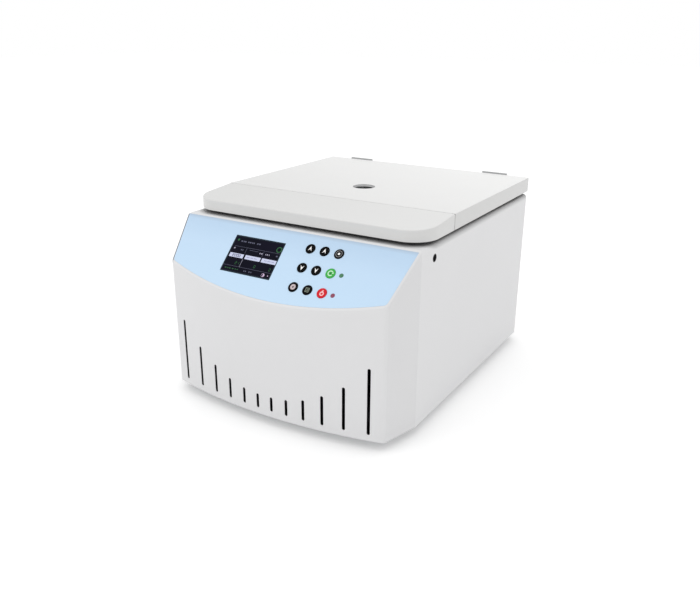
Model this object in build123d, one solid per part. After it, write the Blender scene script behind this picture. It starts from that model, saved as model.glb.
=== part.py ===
from build123d import *

import math
import os

# Cytocentrifuge: a bench centrifuge that spins cells out of small funnels onto microscope slides.
# Millimetres. +Z is up, the front faces -Y, and the origin is on the bench under the middle of the box
# that holds the whole instrument.

# ---------------------------------------------------------------- driving dimensions
# Cabinet shell
BODY_WIDTH = 430.0
BODY_HEIGHT = 277.0  # lower edge of the walls to the deck
SIDE_DEPTH = 444.5  # straight part of each side wall
FACET_DEPTH = 66.0  # the short facet in front of it, seen along the side
FACET_TAPER = 17.3  # how far each facet leans in towards the front
FRONT_BULGE = 24.0  # rise of the curved front over its chord
PANEL_ANGLE = 45.0  # slope of the control panel
WALL = 3.5
FRONT_CORNER_R = 9.0
REAR_CORNER_R = 8.0
DECK_EDGE_R = 7.0
PANEL_EDGE_R = 2.5
FOOT_HEIGHT = 15.0
RIB_SHARES = (0.2, 0.4, 0.6, 0.8)  # places of the ribs along each side wall, from the back
RIB_THICKNESS = 2.4
RIB_REACH = 10.5
RIB_START = 55.0  # lower end of each rib above the base plate
BASE_POST_R = 5.0
BASE_POST_HEIGHT = 40.0
BASE_POST_BORE = 23.0
BOARD_POST_R = 3.0

# Lid
LID_GAP = 5.2
LID_HEIGHT = 25.0
LID_SETBACK = 10.0  # front of the lid behind the front end of the side walls
CAP_DEPTH = 98.5  # front of the lid to the seam between its two covers
LID_SEAM = 0.9
LID_FRONT_DROP = 7.5  # how far the cap falls away towards the front
LID_CORNER_R = 42.0
LID_REAR_CORNER_R = 3.0
LID_SHEET = 1.5
LID_EDGE_R = 1.0
CAP_WALL = 3.0
CAP_EDGE_R = 2.0
LINER_SHEET = 2.0
BEAD_SHARE = 0.62  # radius of the liner's pressed ring as a share of the bowl's
BEAD_WIDTH = 8.0
BEAD_SLOPE = 2.0
SKIRT_INSET = 10.0
SKIRT_WALL = 3.0
SKIRT_CORNER_R = 16.0
WINDOW_R = 19.3
WINDOW_AHEAD = 8.0  # middle of the window in front of the rotor axis
WINDOW_SINK = 4.5
WINDOW_PANE = 3.0
WINDOW_RING_WALL = 2.0
WINDOW_LIP = 4.0  # flange of the window ring under the liner
WINDOW_LIP_SHEET = 1.5
LID_POST_R = 4.0
LID_POST_BORE = 9.0
REAR_POST_SETBACK = 36.0  # rear screw posts in front of the rear wall
SEAM_POST_REAR = 14.0  # screw posts behind the seam, and in front of it
SEAM_POST_FRONT = 22.0
FRONT_POST_DEPTH = 24.0
FRONT_POST_SHARE = 0.68  # place across the lid as a share of the side posts'

# Hinges
HINGE_SIDE = 69.0  # from each side of the lid to the middle of the hinge
HINGE_WIDTH = 48.5
KNUCKLE_R = 3.0
HINGE_PIN_R = 1.5
HINGE_SETBACK = 4.0  # pin axis behind the rear wall
HINGE_DROP = 1.0  # pin axis below the lid's top
LID_LEAF = 1.5
BODY_LEAF = 1.8
BODY_LEAF_LENGTH = 62.0
LEAF_STEP = (4.0, 14.0)  # start and end of the leaf's joggle below the deck
LEAF_TAB = 14.0  # width of each tab that carries a knuckle
LEAF_TAB_DROP = 2.0

# Chamber
CHAMBER_MARGIN = 39.5  # front end of the side walls to the rim of the bowl
BOWL_R = 164.0
BOWL_DEPTH = 150.0
BOWL_SHEET = 1.2
BOWL_CORNER_R = 20.0
BOWL_FLANGE = 12.0
GUARD_GAP = 2.0
GUARD_WALL = 4.0
GUARD_HEIGHT = 112.0
GUARD_DROP = 28.0  # top of the guard ring below the deck
GUARD_FOOT = 28.0
SEAL_WIDTH = 6.0
SEAL_FOOT = 1.2
SEAL_LIP = (0.3, 0.7)  # start and end of the seal's crest as shares of its width
SHAFT_R = 10.0
SHAFT_CONE_R = 7.0
SHAFT_CHAMFER = 1.0
SHAFT_THREAD_R = 4.0
COLLAR_GAP = 2.0
COLLAR_HEIGHT = 10.0

# Base and drive
BASE_SHEET = 2.0
BASE_RECESS = 3.0
BASE_LIP = 12.0
BASE_SLOTS = 7
BASE_SLOT_LENGTH = 60.0
BASE_SLOT_PITCH = 15.0
FOOT_R = 14.0
FOOT_STEP = 3.0
FOOT_INSET_X = 65.0
REAR_FOOT_SETBACK = 60.0
FRONT_FOOT_AHEAD = 4.5  # front feet behind the front end of the side walls
BRIDGE_HALF = 84.0
BRIDGE_SHEET = 3.0
BRIDGE_FOOT = 26.0
BRIDGE_R = 6.0
BRIDGE_WINDOW = 0.6  # height of the openings as a share of the bridge's
BRIDGE_BORE_R = 14.0
DAMPER_R = 11.0
DAMPER_WAIST_R = 8.0
DAMPER_HEIGHT = 20.0
DAMPER_CAP = 4.0
DAMPER_SHARE = 0.7  # places of the dampers along the bridge
MOTOR_R = 55.0
MOTOR_LENGTH = 84.0
MOTOR_FIN = 3.0
MOTOR_RIB = 2.4
MOTOR_RIBS = 12
MOTOR_NOSE = ((0.55, 0.0), (0.6, 8.0))  # share of the radius and height of the lower cap's corners
MOTOR_LOWER_BAND = (10.0, 14.0, 20.0)  # heights of the lower end bell
MOTOR_UPPER_BAND = (26.0, 8.0)  # distances of the upper end bell below the motor's top
MOTOR_BORE = 14.0  # bottom of the motor to the start of the shaft's bore
PLATE_TO_BOWL = 5.0  # motor bridge to the underside of the bowl

# Rotor and slide carriers
CARRIERS = 6
FIRST_CARRIER_ANGLE = 90.0
ROTOR_CLEARANCE_R = 14.0  # rotor to the wall of the bowl
ROTOR_CLEARANCE = 19.0  # rotor pan above the chamber floor
ROTOR_WEB = 4.0
ROTOR_RIM_HEIGHT = 24.0
ROTOR_RIM_WALL = 4.0
ROTOR_CHAMFER = 4.0
HUB_R = 23.0
HUB_HEIGHT = 40.0
HUB_CHAMFER = 2.0
HUB_CONE = 16.0  # width of the cone round the hub's foot
HUB_CONE_HEIGHT = 12.0
HUB_TAPER_END = 6.0  # end of the taper below the hub's top
LIGHTENING_R = 15.0
LIGHTENING_SHARE = 0.78
STOP_RIB = 4.0
STOP_RIB_HEIGHT = 6.0
STOP_RIB_SETBACK = 45.0
PIVOT_INSET = 28.0  # pivots inside the rotor's edge
PIVOT_HEIGHT = 18.0  # pivot above the rotor pan
EAR_WIDTH = 5.0
EAR_LENGTH = 16.0
EAR_CROWN = 7.0
EAR_CROWN_R = 4.0
REST_LEAN = 20.0  # carriers lean in by this much until the rotor spins
TRUNNION_R = 2.0
SLIDE_LENGTH = 76.0
SLIDE_WIDTH = 26.0
SLIDE_THICKNESS = 1.0
CARD_THICKNESS = 0.4
CARD_SHORT = 3.0  # how much shorter the card is than the slide
CARD_HOLE_LENGTH = 3.0
CLIP_SHEET = 1.5
CLIP_BACK = 6.0  # inner face of the clip's back, outside the pivot
CLIP_LOW = 5.0  # lower end of the clip below the pivot
CLIP_REACH = 8.5  # depth of the clip's side walls
CLIP_HEIGHT = 84.0
CLIP_CORNER_R = 2.5
CLIP_RETURN = 3.0  # depth of the side walls above the chamber block
CLIP_WINDOW_SHARE = 0.62
CLIP_WINDOW_R = 4.0
CHEEK_SHARE = 0.6  # height of the full side walls as a share of the chamber block's
SLIDE_FOOT = 2.5  # lower end of the slide above the pivot
BAIL_R = 1.0
BAIL_BEND_R = 2.5
BAIL_SHARE = 0.3
BAIL_BITE = 0.4  # how deep the wire is welded into the cheeks
CHAMBER_BLOCK_DEPTH = 8.0
CHAMBER_BLOCK_HEIGHT = 52.0
CHAMBER_BLOCK_LIFT = 12.0  # foot of the slide to the foot of the block
CHAMBER_BLOCK_R = 5.0
PORT_HEIGHT = 38.0
PORT_R = 3.0
PORT_REACH = 25.0
FUNNEL_LENGTH = 31.0
FUNNEL_MOUTH_R = 9.5
FUNNEL_WALL = 1.5
FUNNEL_STEM = 6.0
FUNNEL_CUP = 5.0  # straight part under the mouth
FUNNEL_BEAD = 1.5
NUT_R = 17.0
NUT_HEIGHT = 24.0
NUT_TOP = 7.0
NUT_SHOULDER = 5.0
NUT_SHOULDER_R = 3.0
NUT_FLUTES = 12
NUT_FLUTE_R = 3.0
NUT_FLUTE_OUT = 1.5  # axis of each flute outside the nut
NUT_THREAD_END = 8.0  # end of the shaft's thread below the nut's top

# Control panel: x across, and distances down the slope from its upper edge
FILM_THICKNESS = 0.6
FILM_PROUD = 0.2
FILM_INSET = 3.0
FILM_TOP = 3.0
FILM_LENGTH = 129.5
DISPLAY_WIDTH = 94.6
DISPLAY_HEIGHT = 64.4
DISPLAY_X = -50.9
DISPLAY_DOWN = 58.1
DISPLAY_PANE = 2.4
DISPLAY_CORNER_R = 2.0
DISPLAY_SOCKET = (22.0, 6.0, 10.0)
KEY_NAMES = ("speed_up", "time_up", "open_lid", "speed_down", "time_down", "start", "menu", "program", "stop")
KEY_R = 8.0
KEY_COLUMN_1 = 41.8
KEY_PITCH_X = 25.0
KEY_ROW_1 = 27.3
KEY_PITCH_DOWN = 32.7
KEY_GRID = 3
KEY_TRAVEL = 0.6
KEY_PROUD = 1.2
KEY_EDGE = 0.6
KEY_DISH = 0.5
KEY_DISH_SHARE = 0.72  # depth of the dish half-way out, as a share of its depth at the middle
KEY_FLANGE_R = 9.4
KEY_FLANGE = 1.0
KEY_FLANGE_GAP = 0.3
KEY_STEM_R = 3.0
KEY_STEM_END = -8.0  # inner end of a key's stem, behind the panel's face
SWITCH_WIDTH = 6.2
SWITCH_HEIGHT = 3.2
SWITCH_SINK = 0.1  # overlap of the switch's body with its board
SWITCH_PLUNGER_R = 1.8
SWITCH_GAP = 0.1
LED_R = 3.5
LED_X = 110.0
LED_DOME = (1.0, 0.66, -0.2)  # heights at the middle, part-way out and at the edge
LED_DOME_SHARE = 0.62
LED_LEG_R = 2.5
BOARD_DEPTH = 12.4  # circuit boards behind the outer face of the panel
BOARD = 1.6
BOARD_CORNER_R = 3.0
KEY_SOCKET = (30.0, 6.0, 8.4)
KEY_SOCKET_UP = 8.0

# Front vents: distance from the middle and height of the top of each slot above the wall's lower edge
VENTS = ((13.0, 34.2), (40.2, 36.9), (70.0, 44.2), (101.8, 58.4), (136.4, 79.9), (174.3, 116.0))
VENT_WIDTH = 5.0
VENT_BOTTOM = 10.0

# Lid lock and its manual release
RELEASE_DROP = 20.7  # release hole below the deck
RELEASE_HOLE_R = 6.3
SPINDLE_BEHIND_HOOK = 9.8
SPINDLE_R = 4.0
SPINDLE_FLAT = 5.0  # hexagon socket across flats
SPINDLE_SOCKET = 10.0
SPINDLE_SHORT = 3.0  # outer end of the spindle inside the wall
SPINDLE_TAIL = 12.0  # inner end beyond the middle of the rack
PINION_TEETH = 12
GEAR_MODULE = 1.0
ADDENDUM = 0.9
DEDENDUM = 1.25
PRESSURE_ANGLE = 20.0
BACKLASH = 0.15
RACK_X = 61.0
RACK_WIDTH = 9.0
RACK_TEETH = (-4, 2)
RACK_OVERLAP = 0.2
BOLT_TRAVEL = 9.0
BOLT_SHEET = 4.0
BOLT_WIDTH = 8.0
BOLT_SETBACK = 3.5  # tip of the open bolt in front of the hook
BOLT_CHAMFER = 1.0
CROSSBAR = (24.0, 16.0)  # front and rear edge of the crossbar in front of the bolt's tip
GUIDE = (6.0, 1.5)  # front and rear edge of each guide in front of the bolt's tip
GUIDE_WALL = 4.0
GUIDE_GAP = 0.3
GUIDE_DROP = 3.5
HOOK_AHEAD = 7.0  # hook in front of the rim of the bowl
HOOK_SHEET = 3.0
HOOK_WIDTH = 28.0
HOOK_DEPTH = 28.0
HOOK_CHAMFER = 6.0
HOOK_WINDOW = 12.0
HOOK_WINDOW_GAP = 4.0
HOOK_WINDOW_R = 1.0
HOOK_FOOT = 8.0
SLOT_AHEAD = 5.0  # deck slot in front of the hook, behind it and beside it
SLOT_BEHIND = 3.0
SLOT_SIDE = 2.0
LATCH_PLATE = 2.0
LATCH_LEFT = 18.0
LATCH_RIGHT = 17.0
LATCH_FRONT = 10.0
LATCH_REAR = 7.0
LUG_OFFSET = 9.0
LUG_SHEET = 3.0
LUG_R = 6.0
PLUNGER_X = -34.0
PLUNGER_R = 3.0
PLUNGER_LENGTH = 22.0
PLUNGER_ROOT = 2.0
PLUNGER_LUG = 5.0
COIL_HALF = 12.0
COIL_DROP = 9.0
COIL_CHAMFER = 1.5
COIL_GAP = 2.0
COIL_REAR = 1.0
SWITCH_BODY = (20.0, 6.4, 15.0)
SWITCH_SIDE = 4.0  # lid switch beside the hook
SWITCH_AHEAD = 2.0
LEVER_REACH = 2.5
LEVER_WIDTH = 3.0
LEVER_SHEET = 1.0
LEVER_LOW = 13.0
LEVER_HIGH = 6.0
BUSH_WALL = 3.0
BUSH_LENGTH = 8.0
BUSH_MOUTH = 1.0

# Rear panel
FAN_SIZE = 80.0
FAN_DEPTH = 25.0
FAN_SIDE = 103.0  # from the left side to the fan's axis
FAN_HEIGHT = 72.0
FAN_CORNER_R = 5.0
FAN_FLANGE = 4.0
FAN_TUBE_WALL = 1.6
FAN_BLADES = 7
FAN_HUB_R = 17.0
FAN_BORE_R = 37.5
FAN_TIP_GAP = 1.0
FAN_BLADE = 1.4
FAN_BLADE_ANGLE = 38.0
FAN_BLADE_MARGIN = 1.5
FAN_STRUT = 4.0
FAN_STRUT_DEPTH = 2.5
FAN_AXLE_R = 3.0
FAN_AXLE = 12.0
FAN_HUB_SKIN = 2.5
FAN_HUB_CHAMFER = 2.0
FAN_REAR_GAP = 3.0
FAN_SCREW_PITCH = 71.5
GRILLE_RINGS = (8.0, 16.0, 24.0, 32.0)  # inner radius of each ring of slots over the fan
GRILLE_SLOT = 4.5
GRILLE_SPOKE = 5.0
GRILLE_TURNS = (0, 60, 120)
INLET_SIDE = 97.0  # from the right side to the middle of the mains inlet
INLET_HEIGHT = 52.0
INLET_WIDTH = 50.0
INLET_TALL = 62.0
INLET_FLANGE = 2.0
INLET_CORNER_R = 5.0
INLET_DEPTH = 30.0
SOCKET_DOWN = -14.0
SOCKET_WIDTH = 24.5
SOCKET_HEIGHT = 17.0
SOCKET_CORNER_R = 5.5
SOCKET_DEPTH = 17.0
CONTACTS = ((-7.0, 1.0), (7.0, 1.0), (0.0, -3.0))
CONTACT = (2.0, 4.2)
CONTACT_LENGTH = 13.5
ROCKER_UP = 15.0
ROCKER_SWING = 12.0
ROCKER_WIDTH = 20.8
ROCKER_PROFILE = ((-6.5, 4.6), (0, 3.4), (6.5, 4.6), (5.6, -5), (-5.6, -5))
ROCKER_WELL = (22.0, 15.6)
ROCKER_WELL_DEPTH = 14.1
ROCKER_PIN_R = 1.5
ROCKER_PIN = 1.2  # reach of each pivot pin beyond the side of the rocker
ROCKER_SINK = 3.0  # pivot behind the rear wall's face

# Driver board
DRIVER_SETBACK = 44.0  # middle of the board inside the side wall
DRIVER_HALF = (26.0, 60.0)
DRIVER_LIFT = 8.0
DRIVER_POST = (22.0, 56.0)
DRIVER_POST_R = 3.0
SINK_START = (4.0, -52.0)
SINK_PLATE = (4.0, 60.0, 34.0)
SINK_FINS = 6
SINK_FIN = (17.0, 2.0)
SINK_FIN_PITCH = 11.6
CAPACITORS = (-42.0, -20.0)
CAPACITOR_X = -12.0
CAPACITOR_R = 9.0
CAPACITOR_HEIGHT = 30.0
COIL_BLOCK = ((-20.0, 2.0), (18.0, 50.0), 26.0)

# Clearances
FIT = 0.05  # pieces of one assembly that sit against each other
RUNNING_FIT = 0.08  # radial, on pins and shafts
FREE = 0.5  # between pieces that move past each other
CUT = 1.0  # how far a cutting tool reaches past the face that it opens
BITE = 1.0  # how deep a boss or tube is sunk into the piece that carries it
SCREW_R = 2.0
SCREW_HEAD_R = 3.8
SCREW_HEAD = 2.2
BASE_SCREW = 10.0
LID_SCREW = 9.0

# ---------------------------------------------------------------- derived places
BODY_DEPTH = SIDE_DEPTH + FACET_DEPTH + FRONT_BULGE
REAR_REACH = HINGE_SETBACK + KNUCKLE_R
HALF = BODY_WIDTH / 2
BACK_Y = (BODY_DEPTH - REAR_REACH) / 2
SIDE_FRONT_Y = BACK_Y - SIDE_DEPTH
REAR_IN_Y = BACK_Y - WALL
BASE_Z = FOOT_HEIGHT
DECK_Z = BASE_Z + BODY_HEIGHT
UNDER_DECK_Z = DECK_Z - WALL
LID_Z = DECK_Z + LID_GAP
LID_TOP_Z = LID_Z + LID_HEIGHT
LID_FRONT_Y = SIDE_FRONT_Y + LID_SETBACK
SEAM_Y = LID_FRONT_Y + CAP_DEPTH
CHAMBER_Y = SIDE_FRONT_Y + CHAMBER_MARGIN + BOWL_FLANGE + BOWL_R
WINDOW_Y = CHAMBER_Y - WINDOW_AHEAD
PANE_Z = LID_TOP_Z - WINDOW_SINK - WINDOW_PANE
FLOOR_Z = DECK_Z - BOWL_DEPTH
BOWL_OUT_R = BOWL_R + BOWL_SHEET
BASE_PLATE_Z = BASE_Z + BASE_RECESS
BASE_TOP_Z = BASE_PLATE_Z + BASE_SHEET
BRIDGE_TOP_Z = FLOOR_Z - BOWL_SHEET - PLATE_TO_BOWL
MOTOR_TOP_Z = BRIDGE_TOP_Z - BRIDGE_SHEET
MOTOR_LOW_Z = MOTOR_TOP_Z - MOTOR_LENGTH
ROTOR_R = BOWL_R - ROTOR_CLEARANCE_R
ROTOR_Z = FLOOR_Z + ROTOR_CLEARANCE
PIVOT_R = ROTOR_R - PIVOT_INSET
CLIP_HALF = SLIDE_WIDTH / 2 + FREE + CLIP_SHEET
BLOCK_LOW = SLIDE_FOOT + CHAMBER_BLOCK_LIFT
HINGE_Y = BACK_Y + HINGE_SETBACK
HINGE_Z = LID_TOP_Z - HINGE_DROP
HINGE_XS = (HINGE_SIDE - HALF, HALF - HINGE_SIDE)
HOOK_Y = CHAMBER_Y - BOWL_R - BOWL_FLANGE - HOOK_AHEAD
SPINDLE_Y = HOOK_Y + SPINDLE_BEHIND_HOOK
SPINDLE_Z = DECK_Z - RELEASE_DROP
PITCH_R = GEAR_MODULE * PINION_TEETH / 2
RACK_PITCH = math.pi * GEAR_MODULE
BOLT_Z = SPINDLE_Z + PITCH_R + DEDENDUM * GEAR_MODULE  # underside of the sliding bolt plate
BOLT_MID_Z = BOLT_Z + BOLT_SHEET / 2
BOLT_TIP_Y = HOOK_Y - HOOK_SHEET / 2 - BOLT_SETBACK
CROSSBAR_Y = (BOLT_TIP_Y - CROSSBAR[0], BOLT_TIP_Y - CROSSBAR[1])
GUIDE_Y = (BOLT_TIP_Y - GUIDE[0], BOLT_TIP_Y - GUIDE[1])
LATCH_Z = UNDER_DECK_Z - LATCH_PLATE
FAN_X = FAN_SIDE - HALF
FAN_Z = BASE_Z + FAN_HEIGHT
INLET_X = HALF - INLET_SIDE
INLET_Z = BASE_Z + INLET_HEIGHT
INLET_SCREW_X = INLET_WIDTH / 2 + SCREW_HEAD_R

# The panel's own frame: x across, y up the slope, z out of the panel, from the middle of its upper edge
PANEL = Plane(
    origin=(0, SIDE_FRONT_Y, DECK_Z),
    x_dir=(1, 0, 0),
    z_dir=(0, -math.sin(math.radians(PANEL_ANGLE)), math.cos(math.radians(PANEL_ANGLE))),
)
KEY_PLACES = [
    (KEY_COLUMN_1 + KEY_PITCH_X * column, -KEY_ROW_1 - KEY_PITCH_DOWN * row)
    for row in range(KEY_GRID)
    for column in range(KEY_GRID)
]
LED_PLACES = [(LED_X, -KEY_ROW_1 - KEY_PITCH_DOWN * row) for row in (1, 2)]

# Frames on the rear wall: for the fan local Z points out of the wall, for the inlet local Y is up as well
FAN_PLACE = Pos(FAN_X, REAR_IN_Y, FAN_Z) * Rot(-90, 0, 0)
INLET_PLACE = Pos(INLET_X, BACK_Y, INLET_Z) * Rot(-90, 0, 0) * Rot(0, 0, 180)


# ---------------------------------------------------------------- shaping helpers
def block(x, y, z):
    """A box from three (low, high) pairs."""
    centre = [(low + high) / 2 for low, high in (x, y, z)]
    return Pos(*centre) * Box(*[high - low for low, high in (x, y, z)])


def span(middle, half):
    return (middle - half, middle + half)


def rod(start, axis, radius, length):
    """A cylinder from a point along +X, +Y or +Z."""
    turn = {"x": Rot(0, 90, 0), "y": Rot(-90, 0, 0), "z": Rot(0, 0, 0)}[axis]
    align = (Align.CENTER, Align.CENTER, Align.MIN)
    return Pos(*start) * turn * Cylinder(radius, length, align=align)


def outline(*points):
    return make_face(Polyline(*points, close=True))


def rounded(face, radius, *corners):
    """Round the corners of a flat outline that lie nearest to the given points."""
    picked = [face.vertices().sort_by_distance(Vector(*corner, 0))[0] for corner in corners]
    return fillet(picked, radius)


def turned(face, centre_y=0.0):
    """Revolve a (radius, height) outline about a vertical axis."""
    return Pos(0, centre_y, 0) * revolve(Plane.XZ * face, Axis.Z)


def side_profile(face, x_low, x_high):
    """Extrude a (y, z) outline across the instrument."""
    return extrude(Plane.YZ.offset(x_low) * face, amount=x_high - x_low)


def joined(solids):
    whole = Part()
    for solid in solids:
        whole += solid
    return whole


def joined_sketch(faces):
    whole = Sketch()
    for face in faces:
        whole += face
    return whole


def save(name, shape):
    solids = shape.solids()
    part = solids[0] if len(solids) == 1 else Compound(children=list(solids))
    part.label = name
    export_step(part, f"parts/{name}.step")


def screw(start, axis, length, head_at_start=True):
    """A pan-head screw along +X, +Y or +Z; its head is outside its own length."""
    unit = Vector(*{"x": (1, 0, 0), "y": (0, 1, 0), "z": (0, 0, 1)}[axis])
    shank_start = Vector(*start)
    head_start = shank_start - unit * SCREW_HEAD if head_at_start else shank_start + unit * length
    return rod(shank_start, axis, SCREW_R, length) + rod(head_start, axis, SCREW_HEAD_R, SCREW_HEAD)


# ---------------------------------------------------------------- cabinet
def plan(inset=0.0):
    """The cabinet seen from above: straight back and sides, tapering facets and a curved front."""
    facet_x = HALF - FACET_TAPER
    facet_y = SIDE_FRONT_Y - FACET_DEPTH
    walls = [
        Polyline((-facet_x, facet_y), (-HALF, SIDE_FRONT_Y), (-HALF, BACK_Y), (HALF, BACK_Y),
                 (HALF, SIDE_FRONT_Y), (facet_x, facet_y)),
        ThreePointArc((facet_x, facet_y), (0, facet_y - FRONT_BULGE), (-facet_x, facet_y)),
    ]
    face = make_face(walls)
    face = rounded(face, REAR_CORNER_R, (-HALF, BACK_Y), (HALF, BACK_Y))
    face = rounded(face, FRONT_CORNER_R, (-facet_x, facet_y), (facet_x, facet_y))
    return offset(face, -inset) if inset else face


def above_panel(depth=0.0):
    """Everything outside a plane that lies this far behind the panel's face."""
    reach = BODY_WIDTH + BODY_DEPTH
    return PANEL * Pos(0, 0, reach / 2 - depth) * Box(2 * reach, 2 * reach, reach)


def prism(inset, low, high):
    return Pos(0, 0, low) * extrude(plan(inset), amount=high - low)


def on_panel(x, up, solid):
    return PANEL * Pos(x, up, 0) * solid


def panel_cut(x, up, radius, depth):
    """A round hole square to the panel, to a depth behind its face."""
    length = depth + 2 * WALL
    return on_panel(x, up, Pos(0, 0, 2 * WALL - length / 2) * Cylinder(radius, length))


def film_sheet(growth=0.0):
    """The panel film, or with growth the shallow recess that it lies in."""
    low, high = FILM_PROUD - FILM_THICKNESS, FILM_PROUD + growth * 2 * WALL
    length = FILM_LENGTH + growth
    middle = -FILM_TOP + growth - length / 2
    slab = Pos(0, middle, (low + high) / 2) * Box(BODY_WIDTH, length, high - low)
    return PANEL * slab & prism(FILM_INSET - growth, BASE_Z, DECK_Z + FIT)


def base_post_places():
    side = HALF - WALL - SCREW_HEAD_R - FREE / 2
    front_x = HALF - FACET_TAPER / 2 - WALL - SCREW_HEAD_R - 2 * FREE
    front_y = SIDE_FRONT_Y - FACET_DEPTH / 2
    rear_y = REAR_IN_Y - 3 * SCREW_HEAD_R
    middle_y = BACK_Y - SIDE_DEPTH / 2
    half_set = ((side, rear_y), (side, middle_y), (front_x, front_y))
    return [(s * x, y) for s in (-1, 1) for x, y in half_set]


def board_post_places():
    """Posts of the key board, then those of the display board."""
    key_xs = (KEY_COLUMN_1 - KEY_R - 2 * FREE - SCREW_R, LED_X + KEY_R + SCREW_R)
    key_rows = (-KEY_ROW_1 + KEY_R, -KEY_ROW_1 - 2 * KEY_PITCH_DOWN - KEY_R)
    display_xs = span(DISPLAY_X, DISPLAY_WIDTH / 2)
    display_rows = span(-DISPLAY_DOWN, DISPLAY_HEIGHT / 2 + 4 * FREE + SCREW_R)
    return [(x, y) for x in key_xs for y in key_rows], [(x, y) for x in display_xs for y in display_rows]


def main_housing():
    shell = prism(0, BASE_Z, DECK_Z) - above_panel()
    shell = fillet(shell.faces().sort_by(Axis.Z)[-1].edges(), DECK_EDGE_R)
    panel_face = shell.faces().filter_by(PANEL)[-1]
    rim = [edge for edge in panel_face.edges() if edge.center().Z < DECK_Z - 2 * DECK_EDGE_R]
    shell = fillet(rim, PANEL_EDGE_R)
    shell -= prism(WALL, BASE_Z - WALL, UNDER_DECK_Z) - above_panel(WALL)
    shell = with_ribs_and_posts(shell)
    # deck openings
    shell -= rod((0, CHAMBER_Y, DECK_Z - 2 * WALL), "z", BOWL_OUT_R + FREE, 3 * WALL)
    shell -= hook_slot(DECK_Z - 2 * WALL, DECK_Z + WALL)
    # panel openings
    shell -= film_sheet(FIT)
    display = Pos(0, 0, -WALL) * Box(DISPLAY_WIDTH + 2 * FIT, DISPLAY_HEIGHT + 2 * FIT, 4 * WALL)
    shell -= on_panel(DISPLAY_X, -DISPLAY_DOWN, display)
    for x, up in KEY_PLACES:
        shell -= panel_cut(x, up, KEY_R + FREE / 2, 2 * WALL)
    for x, up in LED_PLACES:
        shell -= panel_cut(x, up, LED_R + FIT, 2 * WALL)
    # front vents, side release hole and rear openings
    for x, top in VENTS:
        tall = top - VENT_BOTTOM
        slot = Pos(0, BASE_Z + VENT_BOTTOM + tall / 2) * Rot(0, 0, 90) * SlotOverall(tall, VENT_WIDTH)
        vent = extrude(Plane.XZ * slot, amount=FACET_DEPTH + FRONT_BULGE)
        for side in (-1, 1):
            shell -= Pos(side * x, SIDE_FRONT_Y - FACET_DEPTH / 3, 0) * vent
    shell -= rod((HALF - 2 * WALL, SPINDLE_Y, SPINDLE_Z), "x", RELEASE_HOLE_R, 3 * WALL)
    grille = joined_sketch(Circle(radius + GRILLE_SLOT) - Circle(radius) for radius in GRILLE_RINGS)
    for turn in GRILLE_TURNS:
        grille -= Rot(0, 0, turn) * Rectangle(2 * FAN_SIZE, GRILLE_SPOKE)
    shell -= Pos(FAN_X, BACK_Y - 2 * WALL, FAN_Z) * Rot(-90, 0, 0) * extrude(grille, amount=3 * WALL)
    shell -= block(span(INLET_X, INLET_WIDTH / 2 - WALL), span(REAR_IN_Y, 2 * WALL),
                   span(INLET_Z, INLET_TALL / 2 - WALL))
    for x, _, z in rear_screw_places():
        shell -= rod((x, BACK_Y - 2 * WALL, z), "y", SCREW_R + FIT, 3 * WALL)
    return shell


def with_ribs_and_posts(shell):
    """Stiffening ribs down the side walls, and posts for the base plate and the circuit boards."""
    for side in (-1, 1):
        inner = side * (HALF - WALL)
        for share in RIB_SHARES:
            x = sorted((inner + side * BITE, inner - side * RIB_REACH))
            y = span(BACK_Y - SIDE_DEPTH * share, RIB_THICKNESS / 2)
            shell += block(x, y, (BASE_TOP_Z + RIB_START, DECK_Z - WALL / 2))
    for x, y in base_post_places():
        shell += rod((x, y, BASE_TOP_Z + FIT), "z", BASE_POST_R, BASE_POST_HEIGHT)
        shell -= rod((x, y, BASE_PLATE_Z), "z", SCREW_R + FIT, BASE_POST_BORE)
    for x, up in sum(board_post_places(), []):
        post = Pos(0, 0, -BOARD_DEPTH) * Cylinder(
            BOARD_POST_R, BOARD_DEPTH - WALL / 2, align=(Align.CENTER, Align.CENTER, Align.MIN))
        shell += on_panel(x, up, post)
    return shell


def rear_screw_places():
    """Screws through the rear wall: x, y of the face under the head, z."""
    offsets = span(0, FAN_SCREW_PITCH / 2)
    fan = [(FAN_X + dx, BACK_Y, FAN_Z + dz) for dx in offsets for dz in offsets]
    leaf_z = DECK_Z - BODY_LEAF_LENGTH / 2
    leaf_y = BACK_Y + BODY_LEAF
    leaves = [(x + dx, leaf_y, leaf_z) for x in HINGE_XS for dx in span(0, HINGE_WIDTH / 3)]
    inlet = [(x, BACK_Y + INLET_FLANGE, INLET_Z) for x in span(INLET_X, INLET_SCREW_X)]
    return fan + leaves + inlet


def base_plate():
    inset = WALL + FREE
    plate = prism(inset, BASE_PLATE_Z, BASE_TOP_Z)
    lip = prism(inset, BASE_TOP_Z, BASE_TOP_Z + BASE_LIP) - prism(inset + BASE_SHEET, BASE_TOP_Z, DECK_Z)
    # no lip behind the front vents
    lip -= block((-HALF, HALF), (SIDE_FRONT_Y - BODY_DEPTH, SIDE_FRONT_Y), (BASE_TOP_Z, DECK_Z))
    for x, y in base_post_places():
        lip -= rod((x, y, BASE_TOP_Z), "z", BASE_POST_R + 2 * FREE, BASE_LIP)
        plate -= rod((x, y, BASE_PLATE_Z - CUT), "z", SCREW_R + FIT, BASE_SHEET + 2 * CUT)
    plate += lip
    slot = extrude(SlotOverall(BASE_SLOT_LENGTH, VENT_WIDTH), amount=BASE_SHEET + 2 * CUT)
    for row in range(BASE_SLOTS):
        y = CHAMBER_Y + (row - (BASE_SLOTS - 1) / 2) * BASE_SLOT_PITCH
        for side in (-1, 1):
            plate -= Pos(side * HALF / 3, y, BASE_PLATE_Z - CUT) * slot
    return plate


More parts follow.
